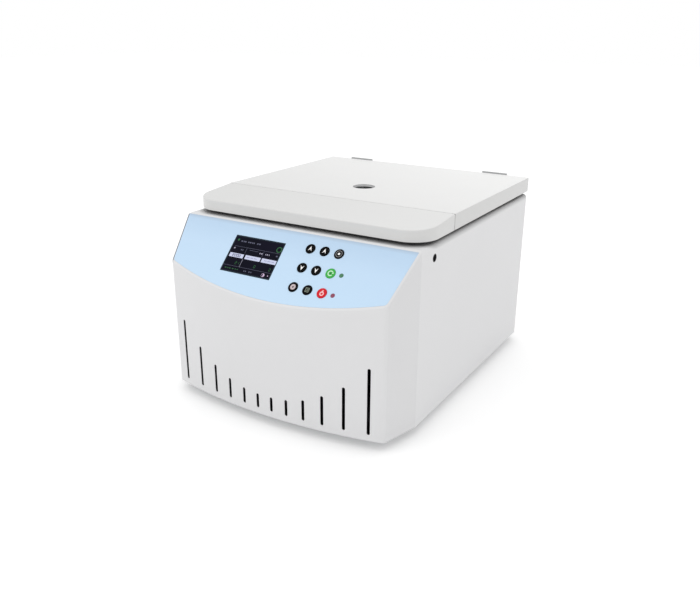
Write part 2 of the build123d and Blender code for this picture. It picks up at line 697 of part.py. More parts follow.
def foot_places():
    ys = (BACK_Y - REAR_FOOT_SETBACK, SIDE_FRONT_Y + FRONT_FOOT_AHEAD)
    return [(x, y) for x in span(0, HALF - FOOT_INSET_X) for y in ys]


def rubber_feet():
    low_r, edge = FOOT_R - FOOT_STEP, FOOT_STEP / 2
    face = outline((0, 0), (low_r, 0), (low_r + edge, edge), (FOOT_R, BASE_PLATE_Z - FOOT_STEP),
                   (FOOT_R, BASE_PLATE_Z), (0, BASE_PLATE_Z))
    return joined(Pos(x, y, 0) * turned(face) for x, y in foot_places())


def cabinet_screws():
    base = [screw((x, y, BASE_PLATE_Z), "z", BASE_SCREW) for x, y in base_post_places()]
    rear = [rear_screw(x, y, z) for x, y, z in rear_screw_places()]
    return joined(base + rear)


def rear_screw(x, y, z):
    return screw((x, REAR_IN_Y, z), "y", y - REAR_IN_Y, head_at_start=False)


# ---------------------------------------------------------------- chamber and drive
def chamber_bowl():
    """Drawn steel bowl with a rolled rim and a raised collar round the shaft."""
    low, top = FLOOR_Z - BOWL_SHEET, DECK_Z + BOWL_SHEET
    rim, hole = BOWL_R + BOWL_FLANGE, SHAFT_R + COLLAR_GAP
    collar, collar_top = hole + BOWL_SHEET, FLOOR_Z + COLLAR_HEIGHT
    face = outline((hole, low), (BOWL_OUT_R, low), (BOWL_OUT_R, DECK_Z), (rim, DECK_Z), (rim, top),
                   (BOWL_R, top), (BOWL_R, FLOOR_Z), (collar, FLOOR_Z), (collar, collar_top),
                   (hole, collar_top))
    face = rounded(face, BOWL_CORNER_R, (BOWL_R, FLOOR_Z))
    face = rounded(face, BOWL_CORNER_R + BOWL_SHEET, (BOWL_OUT_R, low))
    return turned(face, CHAMBER_Y)


def chamber_seal():
    low, high = DECK_Z + BOWL_SHEET, LID_Z - FREE
    start = BOWL_R + SEAL_WIDTH / 2
    end = start + SEAL_WIDTH
    crest = [start + SEAL_WIDTH * share for share in SEAL_LIP]
    face = outline((start, low), (end, low), (end, low + SEAL_FOOT), (crest[1], high), (crest[0], high),
                   (start, low + SEAL_FOOT))
    return turned(face, CHAMBER_Y)


def tube(inner, outer, low, high):
    return turned(outline((inner, low), (outer, low), (outer, high), (inner, high)), CHAMBER_Y)


def guard_ring():
    inner = BOWL_OUT_R + GUARD_GAP
    outer = inner + GUARD_WALL
    top = DECK_Z - GUARD_DROP
    low = top - GUARD_HEIGHT
    ring = tube(inner, outer, low, top)
    legs = tube(inner, outer, BASE_TOP_Z, low)
    across = span(0, GUARD_FOOT / 2)
    for turn in range(45, 360, 90):
        place = Pos(0, CHAMBER_Y, 0) * Rot(0, 0, turn)
        leg = legs & place * block((inner - CUT, outer + CUT), across, (BASE_TOP_Z, low))
        foot = place * block((inner + GUARD_WALL / 2, outer + GUARD_FOOT / 2), across,
                             (BASE_TOP_Z, BASE_TOP_Z + BRIDGE_SHEET))
        ring += leg + foot
    return ring


def motor_bridge():
    low = BASE_TOP_Z + DAMPER_HEIGHT
    half, sheet, toe, top = BRIDGE_HALF, BRIDGE_SHEET, BRIDGE_HALF + BRIDGE_FOOT, BRIDGE_TOP_Z
    face = outline((-toe, low), (-half + sheet, low), (-half + sheet, top - sheet),
                   (half - sheet, top - sheet), (half - sheet, low), (toe, low), (toe, low + sheet),
                   (half, low + sheet), (half, top), (-half, top), (-half, low + sheet), (-toe, low + sheet))
    face = rounded(face, BRIDGE_R, (-half, top), (half, top))
    face = rounded(face, BRIDGE_R - sheet, (-half + sheet, top - sheet), (half - sheet, top - sheet))
    bridge = Pos(0, CHAMBER_Y + half, 0) * extrude(Plane.XZ * face, amount=2 * half)
    window = Box(2 * half + 2 * sheet, half, (top - low) * BRIDGE_WINDOW)
    bridge -= Pos(0, CHAMBER_Y, (low + top) / 2) * window
    return bridge - rod((0, CHAMBER_Y, top - 2 * sheet), "z", BRIDGE_BORE_R, 3 * sheet)


def damper_places():
    ys = span(CHAMBER_Y, BRIDGE_HALF * DAMPER_SHARE)
    return [(x, y) for x in span(0, BRIDGE_HALF + BRIDGE_FOOT / 2) for y in ys]


def motor_dampers():
    face = outline((0, 0), (DAMPER_R, 0), (DAMPER_R, DAMPER_CAP), (DAMPER_WAIST_R, DAMPER_HEIGHT / 2),
                   (DAMPER_R, DAMPER_HEIGHT - DAMPER_CAP), (DAMPER_R, DAMPER_HEIGHT), (0, DAMPER_HEIGHT))
    return joined(Pos(x, y, BASE_TOP_Z) * turned(face) for x, y in damper_places())


def motor_can():
    bottom, top, r = MOTOR_LOW_Z, MOTOR_TOP_Z, MOTOR_R
    nose = [(r * share, bottom + up) for share, up in MOTOR_NOSE]
    low_1, low_2, low_3 = [bottom + up for up in MOTOR_LOWER_BAND]
    high_1, high_2 = [top - down for down in MOTOR_UPPER_BAND]
    neck, flange = r - MOTOR_FIN, r + MOTOR_FIN
    face = outline((0, bottom), *nose, (neck, low_1), (neck, low_2), (r, low_2), (r, low_3), (neck, low_3),
                   (neck, high_1), (r, high_1), (r, high_2), (flange, high_2), (flange, top), (0, top))
    can = turned(face, CHAMBER_Y)
    rib = block((r - 2 * MOTOR_FIN, r), span(0, MOTOR_RIB / 2), (low_2 + MOTOR_FIN, high_1 + MOTOR_FIN))
    for index in range(MOTOR_RIBS):
        can += Pos(0, CHAMBER_Y, 0) * Rot(0, 0, index * 360 / MOTOR_RIBS) * rib
    return can - rod((0, CHAMBER_Y, bottom + MOTOR_BORE), "z", SHAFT_R + RUNNING_FIT, MOTOR_LENGTH)


def drive_shaft():
    bottom = MOTOR_LOW_Z + MOTOR_BORE + FREE
    seat, hub_top = ROTOR_Z, ROTOR_Z + HUB_HEIGHT
    shoulder, end = hub_top - HUB_TAPER_END, hub_top + NUT_HEIGHT - NUT_THREAD_END
    face = outline((0, bottom), (SHAFT_R - SHAFT_CHAMFER, bottom), (SHAFT_R, bottom + SHAFT_CHAMFER),
                   (SHAFT_R, seat), (SHAFT_CONE_R, shoulder), (SHAFT_THREAD_R, shoulder),
                   (SHAFT_THREAD_R, end), (0, end))
    return turned(face, CHAMBER_Y)


# ---------------------------------------------------------------- rotor
def around(index):
    """The place of one carrier: +X out from the rotor's axis, Z up, at the pan's level."""
    return Pos(0, CHAMBER_Y, ROTOR_Z) * Rot(0, 0, carrier_angle(index))


def carrier_angle(index):
    return FIRST_CARRIER_ANGLE + index * 360 / CARRIERS


def rotor_body():
    rim_in = ROTOR_R - ROTOR_RIM_WALL
    face = outline((0, 0), (ROTOR_R - ROTOR_CHAMFER, 0), (ROTOR_R, ROTOR_CHAMFER),
                   (ROTOR_R, ROTOR_RIM_HEIGHT), (rim_in, ROTOR_RIM_HEIGHT),
                   (rim_in - ROTOR_CHAMFER, ROTOR_WEB), (HUB_R + HUB_CONE, ROTOR_WEB),
                   (HUB_R, HUB_CONE_HEIGHT), (HUB_R, HUB_HEIGHT - HUB_CHAMFER),
                   (HUB_R - HUB_CHAMFER, HUB_HEIGHT), (0, HUB_HEIGHT))
    rotor = Pos(0, CHAMBER_Y, ROTOR_Z) * turned(face)
    ear_mid = CLIP_HALF + FREE + EAR_WIDTH / 2
    crown = (0, PIVOT_HEIGHT + EAR_CROWN)
    ear_face = outline((-EAR_LENGTH, 0), (EAR_LENGTH / 2, 0), (EAR_LENGTH / 2, PIVOT_HEIGHT), crown,
                       (-EAR_LENGTH / 2, PIVOT_HEIGHT))
    ear_face = rounded(ear_face, EAR_CROWN_R, crown)
    ear = Pos(PIVOT_R, EAR_WIDTH / 2, 0) * extrude(Plane.XZ * ear_face, amount=EAR_WIDTH)
    between = Rot(0, 0, 180 / CARRIERS) * Pos(PIVOT_R * LIGHTENING_SHARE, 0, 0)
    hole = between * Cylinder(LIGHTENING_R, 6 * ROTOR_WEB)
    stop = block((HUB_R - BITE, PIVOT_R - STOP_RIB_SETBACK), span(0, STOP_RIB / 2),
                 (ROTOR_WEB / 2, ROTOR_WEB + STOP_RIB_HEIGHT))
    for index in range(CARRIERS):
        for side in (-1, 1):
            rotor += around(index) * Pos(0, side * ear_mid, 0) * ear
            start = (PIVOT_R, side * ear_mid - EAR_WIDTH, PIVOT_HEIGHT)
            rotor -= around(index) * rod(start, "y", TRUNNION_R + RUNNING_FIT, 2 * EAR_WIDTH)
        rotor -= around(index) * hole
        # a low rib that the foot of a leaning carrier swings clear of
        rotor += around(index) * stop
    cone = outline((0, -CUT), (SHAFT_R + FIT, -CUT), (SHAFT_R + FIT, 0),
                   (SHAFT_CONE_R + FIT, HUB_HEIGHT - HUB_TAPER_END), (SHAFT_CONE_R + FIT, HUB_HEIGHT + CUT),
                   (0, HUB_HEIGHT + CUT))
    return rotor - Pos(0, CHAMBER_Y, ROTOR_Z) * turned(cone)


def rotor_nut():
    bore, crown, shoulder = SHAFT_THREAD_R + FIT, NUT_HEIGHT - NUT_TOP, NUT_HEIGHT - NUT_SHOULDER
    face = outline((bore, 0), (NUT_R, 0), (NUT_R, shoulder), (NUT_R - NUT_SHOULDER, NUT_HEIGHT),
                   (0, NUT_HEIGHT), (0, crown), (bore, crown))
    face = rounded(face, NUT_SHOULDER_R, (NUT_R, shoulder))
    nut = turned(face)
    flute = Pos(NUT_R + NUT_FLUTE_OUT, 0, NUT_HEIGHT / 2) * Cylinder(NUT_FLUTE_R, NUT_HEIGHT + CUT)
    for index in range(NUT_FLUTES):
        nut -= Rot(0, 0, index * 360 / NUT_FLUTES) * flute
    return Pos(0, CHAMBER_Y, ROTOR_Z + HUB_HEIGHT) * nut


def carrier_place(index):
    """A carrier's own frame: origin on its pivot, X outwards and Z along the slide, leaning in at rest."""
    return around(index) * Pos(PIVOT_R, 0, PIVOT_HEIGHT) * Rot(0, -REST_LEAN, 0)


def slide_clip():
    """Sheet-steel channel with a window, trunnion pins, a foot ledge and a wire bail."""
    low, high = -CLIP_LOW, CLIP_HEIGHT - CLIP_LOW
    front, rear = CLIP_BACK - CLIP_REACH, CLIP_BACK + CLIP_SHEET
    inner_half = CLIP_HALF - CLIP_SHEET
    outer = block((front, rear), span(0, CLIP_HALF), (low, high))
    outer = fillet(outer.edges().filter_by(Axis.Z).group_by(Axis.X)[-1], CLIP_CORNER_R)
    clip = outer - block((front - CUT, CLIP_BACK), span(0, inner_half), (low - CUT, high + CUT))
    # the side walls drop away above the chamber block
    cheek = BLOCK_LOW + CHAMBER_BLOCK_HEIGHT * CHEEK_SHARE
    clip -= block((front - CUT, CLIP_BACK - CLIP_RETURN), span(0, CLIP_HALF + CUT), (cheek, high + CUT))
    window = RectangleRounded(SLIDE_LENGTH * CLIP_WINDOW_SHARE, SLIDE_WIDTH * CLIP_WINDOW_SHARE,
                              CLIP_WINDOW_R)
    window_place = Pos(CLIP_BACK, 0, SLIDE_FOOT + SLIDE_LENGTH / 2) * Rot(0, 90, 0)
    clip -= window_place * extrude(window, amount=4 * CLIP_SHEET, both=True)
    clip += block((front + CLIP_SHEET, CLIP_BACK + CLIP_SHEET / 2), span(0, inner_half + FIT),
                  (SLIDE_FOOT - CLIP_SHEET - FIT, SLIDE_FOOT - FIT))
    pin_length = EAR_WIDTH + FREE + CLIP_SHEET / 2
    pin_start = CLIP_HALF - CLIP_SHEET / 2
    clip += rod((0, pin_start, 0), "y", TRUNNION_R, pin_length)
    clip += rod((0, -pin_start - pin_length, 0), "y", TRUNNION_R, pin_length)
    # bail: a spring wire that runs from one cheek across the front of the chamber block to the other
    wire_z = BLOCK_LOW + CHAMBER_BLOCK_HEIGHT * BAIL_SHARE
    wire_x = block_front() - BAIL_R - FIT
    wire_end = front + CLIP_REACH / 2
    half = CLIP_HALF + BAIL_R - BAIL_BITE
    path = FilletPolyline((wire_end, -half, wire_z), (wire_x, -half, wire_z), (wire_x, half, wire_z),
                          (wire_end, half, wire_z), radius=BAIL_BEND_R)
    ring = Plane(origin=path @ 0, z_dir=path % 0) * Circle(BAIL_R)
    return clip + sweep(ring, path=path)


def block_back():
    return CLIP_BACK - SLIDE_THICKNESS - CARD_THICKNESS - 3 * FIT


def block_front():
    return block_back() - CHAMBER_BLOCK_DEPTH


def slide_stack():
    """The loaded set: slide, filter card and sample chamber with its funnel, pressed into the clip."""
    across = span(0, SLIDE_WIDTH / 2)
    top = SLIDE_FOOT + SLIDE_LENGTH
    slide_x = (CLIP_BACK - FIT - SLIDE_THICKNESS, CLIP_BACK - FIT)
    card_x = (slide_x[0] - FIT - CARD_THICKNESS, slide_x[0] - FIT)
    slide = block(slide_x, across, (SLIDE_FOOT, top))
    port = rod((card_x[0] - CUT, 0, SLIDE_FOOT + PORT_HEIGHT), "x", PORT_R, CARD_HOLE_LENGTH)
    card = block(card_x, across, (SLIDE_FOOT, top - CARD_SHORT)) - port
    return slide, card, sample_chamber()


def sample_chamber():
    front = block_front()
    body = block((front, block_back()), span(0, SLIDE_WIDTH / 2),
                 (BLOCK_LOW, BLOCK_LOW + CHAMBER_BLOCK_HEIGHT))
    body = fillet(body.edges().filter_by(Axis.X), CHAMBER_BLOCK_R)
    port_z = SLIDE_FOOT + PORT_HEIGHT
    neck = (front - PORT_REACH, 0, port_z)
    tube_r = PORT_R + FUNNEL_WALL
    body += rod(neck, "x", tube_r, PORT_REACH + BITE)
    body += Pos(*neck) * Sphere(tube_r)
    # the funnel leans back in the running position, so that it stands upright while the carrier leans in
    stand = Pos(*neck) * Rot(0, REST_LEAN, 0)
    mouth, top, cup = FUNNEL_MOUTH_R + FUNNEL_WALL, FUNNEL_LENGTH, FUNNEL_LENGTH - FUNNEL_CUP
    bead, bead_low = mouth + FUNNEL_BEAD, top - FUNNEL_BEAD
    body += stand * turned(outline((0, 0), (tube_r, 0), (tube_r, FUNNEL_STEM), (mouth, cup),
                                   (mouth, bead_low), (bead, bead_low), (bead, top), (0, top)))
    body -= stand * turned(outline((0, 0), (PORT_R, 0), (PORT_R, FUNNEL_STEM), (FUNNEL_MOUTH_R, cup),
                                   (FUNNEL_MOUTH_R, top + CUT), (0, top + CUT)))
    body -= rod(neck, "x", PORT_R, PORT_REACH + 2 * CHAMBER_BLOCK_DEPTH)
    return body - Pos(*neck) * Sphere(PORT_R)


# ---------------------------------------------------------------- control panel
def control_film():
    film = film_sheet()
    window = Box(DISPLAY_WIDTH + 2 * FIT, DISPLAY_HEIGHT + 2 * FIT, 4 * WALL)
    film -= on_panel(DISPLAY_X, -DISPLAY_DOWN, window)
    for x, up in KEY_PLACES:
        film -= panel_cut(x, up, KEY_R + FREE / 2, WALL)
    for x, up in LED_PLACES:
        film -= panel_cut(x, up, LED_R + FIT, WALL)
    return film


def display_glass():
    pane = extrude(RectangleRounded(DISPLAY_WIDTH, DISPLAY_HEIGHT, DISPLAY_CORNER_R), amount=DISPLAY_PANE)
    return on_panel(DISPLAY_X, -DISPLAY_DOWN, Pos(0, 0, 2 * FILM_PROUD - DISPLAY_PANE) * pane)


def display_module():
    back, front = -BOARD_DEPTH, 2 * FILM_PROUD - DISPLAY_PANE
    board_back = back - BOARD
    frame_face = Rectangle(DISPLAY_WIDTH - 4 * FREE, DISPLAY_HEIGHT - 4 * FREE)
    frame = Pos(0, 0, back) * extrude(frame_face, amount=front - back)
    board_w = DISPLAY_WIDTH + 4 * SCREW_HEAD_R
    board_h = DISPLAY_HEIGHT + 4 * SCREW_HEAD_R + 4 * FREE
    board = Pos(0, 0, board_back) * extrude(RectangleRounded(board_w, board_h, BOARD_CORNER_R), amount=BOARD)
    socket = Pos(-board_w / 4, board_h / 4, board_back - DISPLAY_SOCKET[2] / 2) * Box(*DISPLAY_SOCKET)
    return on_panel(DISPLAY_X, -DISPLAY_DOWN, frame + board + socket)


def key_board():
    posts, _ = board_post_places()
    xs, ups = zip(*posts)
    low_x, high_x = min(xs) - SCREW_HEAD_R, max(xs) + SCREW_HEAD_R
    low_up, high_up = min(ups) - SCREW_HEAD_R, max(ups) + SCREW_HEAD_R
    middle_x, board_back = (low_x + high_x) / 2, -BOARD_DEPTH - BOARD
    face = RectangleRounded(high_x - low_x, high_up - low_up, BOARD_CORNER_R)
    board = Pos(middle_x, (low_up + high_up) / 2, board_back) * extrude(face, amount=BOARD)
    plunger_end = KEY_STEM_END - SWITCH_GAP - KEY_TRAVEL
    for x, up in KEY_PLACES:
        switch = Pos(x, up, -BOARD_DEPTH + SWITCH_HEIGHT / 2 - SWITCH_SINK)
        board += switch * Box(SWITCH_WIDTH, SWITCH_WIDTH, SWITCH_HEIGHT)
        board += rod((x, up, -BOARD_DEPTH), "z", SWITCH_PLUNGER_R, plunger_end + BOARD_DEPTH)
    socket_z = board_back - KEY_SOCKET[2] / 2 + SWITCH_SINK
    board += Pos(middle_x, low_up + KEY_SOCKET_UP, socket_z) * Box(*KEY_SOCKET)
    return PANEL * board


def key():
    """One push key about its own axis, dished on top, with a flange that stops it behind the wall."""
    flange = -WALL - KEY_FLANGE_GAP
    flange_low = flange - KEY_FLANGE
    rim_r, middle, part_way = KEY_R - KEY_EDGE, KEY_PROUD - KEY_DISH, KEY_PROUD - KEY_DISH * KEY_DISH_SHARE
    face = make_face([
        Polyline((rim_r, KEY_PROUD), (KEY_R, KEY_PROUD - KEY_EDGE), (KEY_R, flange), (KEY_FLANGE_R, flange),
                 (KEY_FLANGE_R, flange_low), (KEY_STEM_R, flange_low), (KEY_STEM_R, KEY_STEM_END),
                 (0, KEY_STEM_END), (0, middle)),
        ThreePointArc((0, middle), (KEY_R / 2, part_way), (rim_r, KEY_PROUD)),
    ])
    return turned(face)


def status_leds():
    top, part_way, edge = LED_DOME
    face = make_face([
        Polyline((LED_R, edge), (LED_R, -WALL), (LED_LEG_R, -WALL), (LED_LEG_R, -BOARD_DEPTH),
                 (0, -BOARD_DEPTH), (0, top)),
        ThreePointArc((0, top), (LED_R * LED_DOME_SHARE, part_way), (LED_R, edge)),
    ])
    return joined(on_panel(x, up, turned(face)) for x, up in LED_PLACES)


# ---------------------------------------------------------------- lid
def lid_plan(inset=0.0, front_r=LID_CORNER_R, rear_r=LID_REAR_CORNER_R):
    face = outline((-HALF, LID_FRONT_Y), (HALF, LID_FRONT_Y), (HALF, BACK_Y), (-HALF, BACK_Y))
    face = rounded(face, front_r, (-HALF, LID_FRONT_Y), (HALF, LID_FRONT_Y))
    face = rounded(face, rear_r, (-HALF, BACK_Y), (HALF, BACK_Y))
    return offset(face, -inset) if inset else face


def lid_posts(places, ceiling):
    """Screw posts that hang from the inside of a cover down to the liner."""
    low = LID_Z + LINER_SHEET + FIT
    posts = joined(rod((x, y, low), "z", LID_POST_R, ceiling(y) - low) for x, y in places)
    return posts - joined(rod((x, y, low - CUT), "z", SCREW_R + FIT, LID_POST_BORE) for x, y in places)


def lid_post_x():
    return HALF - 1.5 * SKIRT_INSET - SKIRT_WALL - SCREW_HEAD_R


def rear_lid_places():
    ys = (BACK_Y - REAR_POST_SETBACK, SEAM_Y + SEAM_POST_REAR)
    return [(x, y) for x in span(0, lid_post_x()) for y in ys]


def cap_lid_places():
    sides = [(x, SEAM_Y - SEAM_POST_FRONT) for x in span(0, lid_post_x())]
    return sides + [(x, LID_FRONT_Y + FRONT_POST_DEPTH) for x in span(0, lid_post_x() * FRONT_POST_SHARE)]


def lid_rear_cover():
    reach = BODY_WIDTH
    keep = block((-reach, reach), (SEAM_Y + LID_SEAM / 2, BACK_Y + reach), (LID_Z, LID_TOP_Z))
    cover = Pos(0, 0, LID_Z) * extrude(lid_plan(), amount=LID_HEIGHT) & keep
    top = cover.faces().sort_by(Axis.Z)[-1]
    cover = fillet(top.edges().filter_by(lambda edge: edge.center().Y > SEAM_Y + LID_SEAM), LID_EDGE_R)
    hollow = extrude(lid_plan(LID_SHEET), amount=LID_HEIGHT - LID_SHEET + CUT)
    cover -= Pos(0, 0, LID_Z - CUT) * hollow
    cover += lid_posts(rear_lid_places(), lambda y: LID_TOP_Z - LID_SHEET / 2)
    return cover - rod((0, WINDOW_Y, LID_TOP_Z - 2 * LID_SHEET), "z", WINDOW_R, 3 * LID_SHEET)


def cap_ceiling(y, lower=0.0):
    """Height of the cap's sloping top."""
    return LID_TOP_Z - LID_FRONT_DROP * (SEAM_Y - y) / (SEAM_Y - LID_FRONT_Y) - lower


def cap_profile(lower=0.0, low=LID_Z):
    front = LID_FRONT_Y - CAP_DEPTH / 2
    back = SEAM_Y - LID_SEAM / 2 if lower == 0 else SEAM_Y + CUT
    return side_profile(outline((front, low), (back, low), (back, cap_ceiling(back, lower)),
                                (front, cap_ceiling(front, lower))), -BODY_WIDTH, BODY_WIDTH)


def lid_front_cap():
    cap = Pos(0, 0, LID_Z) * extrude(lid_plan(), amount=LID_HEIGHT) & cap_profile()
    top = cap.faces().sort_by(Axis.Z)[-1]
    cap = fillet(top.edges().filter_by(lambda edge: edge.center().Y < SEAM_Y - LID_SEAM), CAP_EDGE_R)
    hollow = Pos(0, 0, LID_Z - CUT) * extrude(lid_plan(CAP_WALL), amount=LID_HEIGHT + CUT)
    cap -= hollow & cap_profile(CAP_WALL, LID_Z - CUT)
    return cap + lid_posts(cap_lid_places(), lambda y: cap_ceiling(y, CAP_WALL / 2))


def skirt(inset):
    face = lid_plan(inset, rear_r=SKIRT_CORNER_R + SKIRT_INSET)
    return Pos(0, 0, DECK_Z + FREE) * extrude(face, amount=LID_GAP + LINER_SHEET - FREE)


def lid_liner():
    liner = Pos(0, 0, LID_Z) * extrude(lid_plan(CAP_WALL + FREE), amount=LINER_SHEET)
    liner += skirt(SKIRT_INSET) - skirt(SKIRT_INSET + SKIRT_WALL)
    # pressed ring that stiffens the steel over the chamber
    start, low, high = BOWL_R * BEAD_SHARE, LID_Z + LINER_SHEET / 2, LID_Z + 3 * LINER_SHEET
    bead = outline((start, low), (start + BEAD_WIDTH, low), (start + BEAD_WIDTH - BEAD_SLOPE, high),
                   (start + BEAD_SLOPE, high))
    liner += turned(bead, CHAMBER_Y)
    for x, y in rear_lid_places() + cap_lid_places():
        liner -= rod((x, y, LID_Z - CUT), "z", SCREW_R + FIT, LINER_SHEET + 2 * CUT)
    return liner - rod((0, WINDOW_Y, LID_Z - CUT), "z", WINDOW_R, LINER_SHEET + 2 * CUT)


def lid_screws():
    return joined(screw((x, y, LID_Z), "z", LID_SCREW) for x, y in rear_lid_places() + cap_lid_places())


def window_ring():
    outer = WINDOW_R - FIT
    inner, flange, foot = outer - WINDOW_RING_WALL, outer + WINDOW_LIP, LID_Z - WINDOW_LIP_SHEET
    ledge = inner - WINDOW_RING_WALL
    face = outline((inner, LID_TOP_Z), (outer, LID_TOP_Z), (outer, LID_Z), (flange, LID_Z), (flange, foot),
                   (ledge, foot), (ledge, PANE_Z), (inner, PANE_Z))
    return turned(face, WINDOW_Y)


def lid_window():
    return rod((0, WINDOW_Y, PANE_Z), "z", WINDOW_R - WINDOW_RING_WALL - 2 * FIT, WINDOW_PANE)


# ---------------------------------------------------------------- hinges
def knuckle(x, third):
    width = HINGE_WIDTH / 3
    start = x - HINGE_WIDTH / 2 + third * width + FREE / 4
    return rod((start, HINGE_Y, HINGE_Z), "x", KNUCKLE_R, width - FREE / 2)


def knuckle_notch(x, thirds):
    width = HINGE_WIDTH / 3
    y, z = (BACK_Y - CUT, HINGE_Y + 2 * KNUCKLE_R), (HINGE_Z - KNUCKLE_R - FREE, HINGE_Z + 2 * KNUCKLE_R)
    starts = [x - HINGE_WIDTH / 2 + third * width for third in thirds]
    return joined(block((start - FREE / 4, start + width + FREE / 4), y, z) for start in starts)


def hinge_bore(x):
    return rod((x - HINGE_WIDTH, HINGE_Y, HINGE_Z), "x", HINGE_PIN_R + RUNNING_FIT, 2 * HINGE_WIDTH)


def hinge_lid_leaves():
    leaves = []
    for x in HINGE_XS:
        leaf = block(span(x, HINGE_WIDTH / 2), (BACK_Y, BACK_Y + LID_LEAF),
                     (LID_Z + LINER_SHEET, HINGE_Z + HINGE_PIN_R))
        leaf -= knuckle_notch(x, (0, 2))
        leaves.append(leaf + knuckle(x, 1) - hinge_bore(x))
    return joined(leaves)


def hinge_body_leaves():
    outer, inner = HINGE_Y + KNUCKLE_R, BACK_Y + BODY_LEAF
    top, low = HINGE_Z - HINGE_PIN_R, DECK_Z - BODY_LEAF_LENGTH
    step_high, step_low = [DECK_Z - down for down in LEAF_STEP]
    face = outline((outer - BODY_LEAF, top), (outer, top), (outer, step_high), (inner, step_low),
                   (inner, low), (BACK_Y, low), (BACK_Y, step_low), (outer - BODY_LEAF, step_high))
    tab_y, tab_z = (outer - BODY_LEAF - FIT, outer), (top - LEAF_TAB_DROP, HINGE_Z)
    leaves = []
    for x in HINGE_XS:
        leaf = side_profile(face, *span(x, HINGE_WIDTH / 2)) - knuckle_notch(x, (1,))
        leaf += knuckle(x, 0) + knuckle(x, 2)
        for hole_x in span(x, HINGE_WIDTH / 3):
            leaf += block(span(hole_x, LEAF_TAB / 2), tab_y, tab_z)
            hole = (hole_x, BACK_Y - CUT, DECK_Z - BODY_LEAF_LENGTH / 2)
            leaf -= rod(hole, "y", SCREW_R + FIT, BODY_LEAF + 2 * CUT)
        leaves.append(leaf - hinge_bore(x))
    return joined(leaves)


def hinge_pins():
    starts = [(x - HINGE_WIDTH / 2, HINGE_Y, HINGE_Z) for x in HINGE_XS]
    return joined(rod(start, "x", HINGE_PIN_R, HINGE_WIDTH) for start in starts)


# ---------------------------------------------------------------- lid lock
def lid_hook():
    low, half = LID_Z - HOOK_DEPTH, HOOK_WIDTH / 2
    chamfer_x, chamfer_z = half - HOOK_CHAMFER, low + HOOK_CHAMFER
    face = outline((-half, LID_Z), (-half, chamfer_z), (-chamfer_x, low), (chamfer_x, low), (half, chamfer_z),
                   (half, LID_Z))
    face -= Pos(0, BOLT_MID_Z) * RectangleRounded(HOOK_WINDOW, BOLT_SHEET + HOOK_WINDOW_GAP, HOOK_WINDOW_R)
    plate = Pos(0, HOOK_Y + HOOK_SHEET / 2, 0) * extrude(Plane.XZ * face, amount=HOOK_SHEET)
    foot = block((-half, half), (HOOK_Y - HOOK_FOOT, HOOK_Y + HOOK_SHEET / 2), (LID_Z - LINER_SHEET, LID_Z))
    return plate + foot


def rack_half_thickness():
    return RACK_PITCH / 4 - BACKLASH


def rack_tooth(centre, root, tip):
    half, slope = rack_half_thickness(), math.tan(math.radians(PRESSURE_ANGLE))
    pitch = root - DEDENDUM * GEAR_MODULE
    at_root, at_tip = half + (root - pitch) * slope, half - (pitch - tip) * slope
    high = root + RACK_OVERLAP
    return outline((centre - at_root, high), (centre - at_root, root), (centre - at_tip, tip),
                   (centre + at_tip, tip), (centre + at_root, root), (centre + at_root, high))


def latch_bolt():
    high = BOLT_Z + BOLT_SHEET
    arm_x = span(RACK_X, RACK_WIDTH / 2)
    bolt = block(span(0, BOLT_WIDTH / 2), (CROSSBAR_Y[0], BOLT_TIP_Y), (BOLT_Z, high))
    bolt = chamfer(bolt.edges().filter_by(Axis.X).group_by(Axis.Y)[-1], BOLT_CHAMFER)
    bolt += block((PLUNGER_X - PLUNGER_LUG, arm_x[1]), CROSSBAR_Y, (BOLT_Z, high))
    bolt += block(arm_x, (CROSSBAR_Y[0], SPINDLE_Y + 1.5 * RACK_PITCH), (BOLT_Z, high))
    tip_z = BOLT_Z - (ADDENDUM + DEDENDUM) * GEAR_MODULE
    for step in range(*RACK_TEETH):
        bolt += side_profile(rack_tooth(SPINDLE_Y + step * RACK_PITCH, BOLT_Z, tip_z), *arm_x)
    return bolt + rod((PLUNGER_X, CROSSBAR_Y[0] + PLUNGER_ROOT, BOLT_MID_Z), "y", PLUNGER_R, PLUNGER_LENGTH)


def hook_slot(low, high):
    y = (HOOK_Y - HOOK_SHEET / 2 - SLOT_AHEAD, HOOK_Y + HOOK_SHEET / 2 + SLOT_BEHIND)
    return block(span(0, HOOK_WIDTH / 2 + SLOT_SIDE), y, (low, high))


def latch_frame():
    """Plate under the deck with a guide for each leg of the bolt and a lug for the release spindle."""
    plate = block((PLUNGER_X - LATCH_LEFT, RACK_X + LATCH_RIGHT),
                  (CROSSBAR_Y[0] + LATCH_FRONT, SPINDLE_Y + LATCH_REAR), (LATCH_Z, UNDER_DECK_Z))
    plate -= hook_slot(LATCH_Z - CUT, DECK_Z)
    for x, half in ((0, BOLT_WIDTH / 2), (RACK_X, RACK_WIDTH / 2)):
        guide = block(span(x, half + GUIDE_WALL), GUIDE_Y, (BOLT_Z - GUIDE_DROP, LATCH_Z))
        guide -= block(span(x, half + GUIDE_GAP), (GUIDE_Y[0] - CUT, GUIDE_Y[1] + CUT),
                       span(BOLT_MID_Z, BOLT_SHEET / 2 + GUIDE_GAP))
        plate += guide
    start = RACK_X + LUG_OFFSET
    lug = block((start, start + LUG_SHEET), span(SPINDLE_Y, LUG_R), (SPINDLE_Z, LATCH_Z))
    lug += rod((start, SPINDLE_Y, SPINDLE_Z), "x", LUG_R, LUG_SHEET)
    bore = rod((start - CUT, SPINDLE_Y, SPINDLE_Z), "x", SPINDLE_R + RUNNING_FIT, LUG_SHEET + 2 * CUT)
    return plate + lug - bore


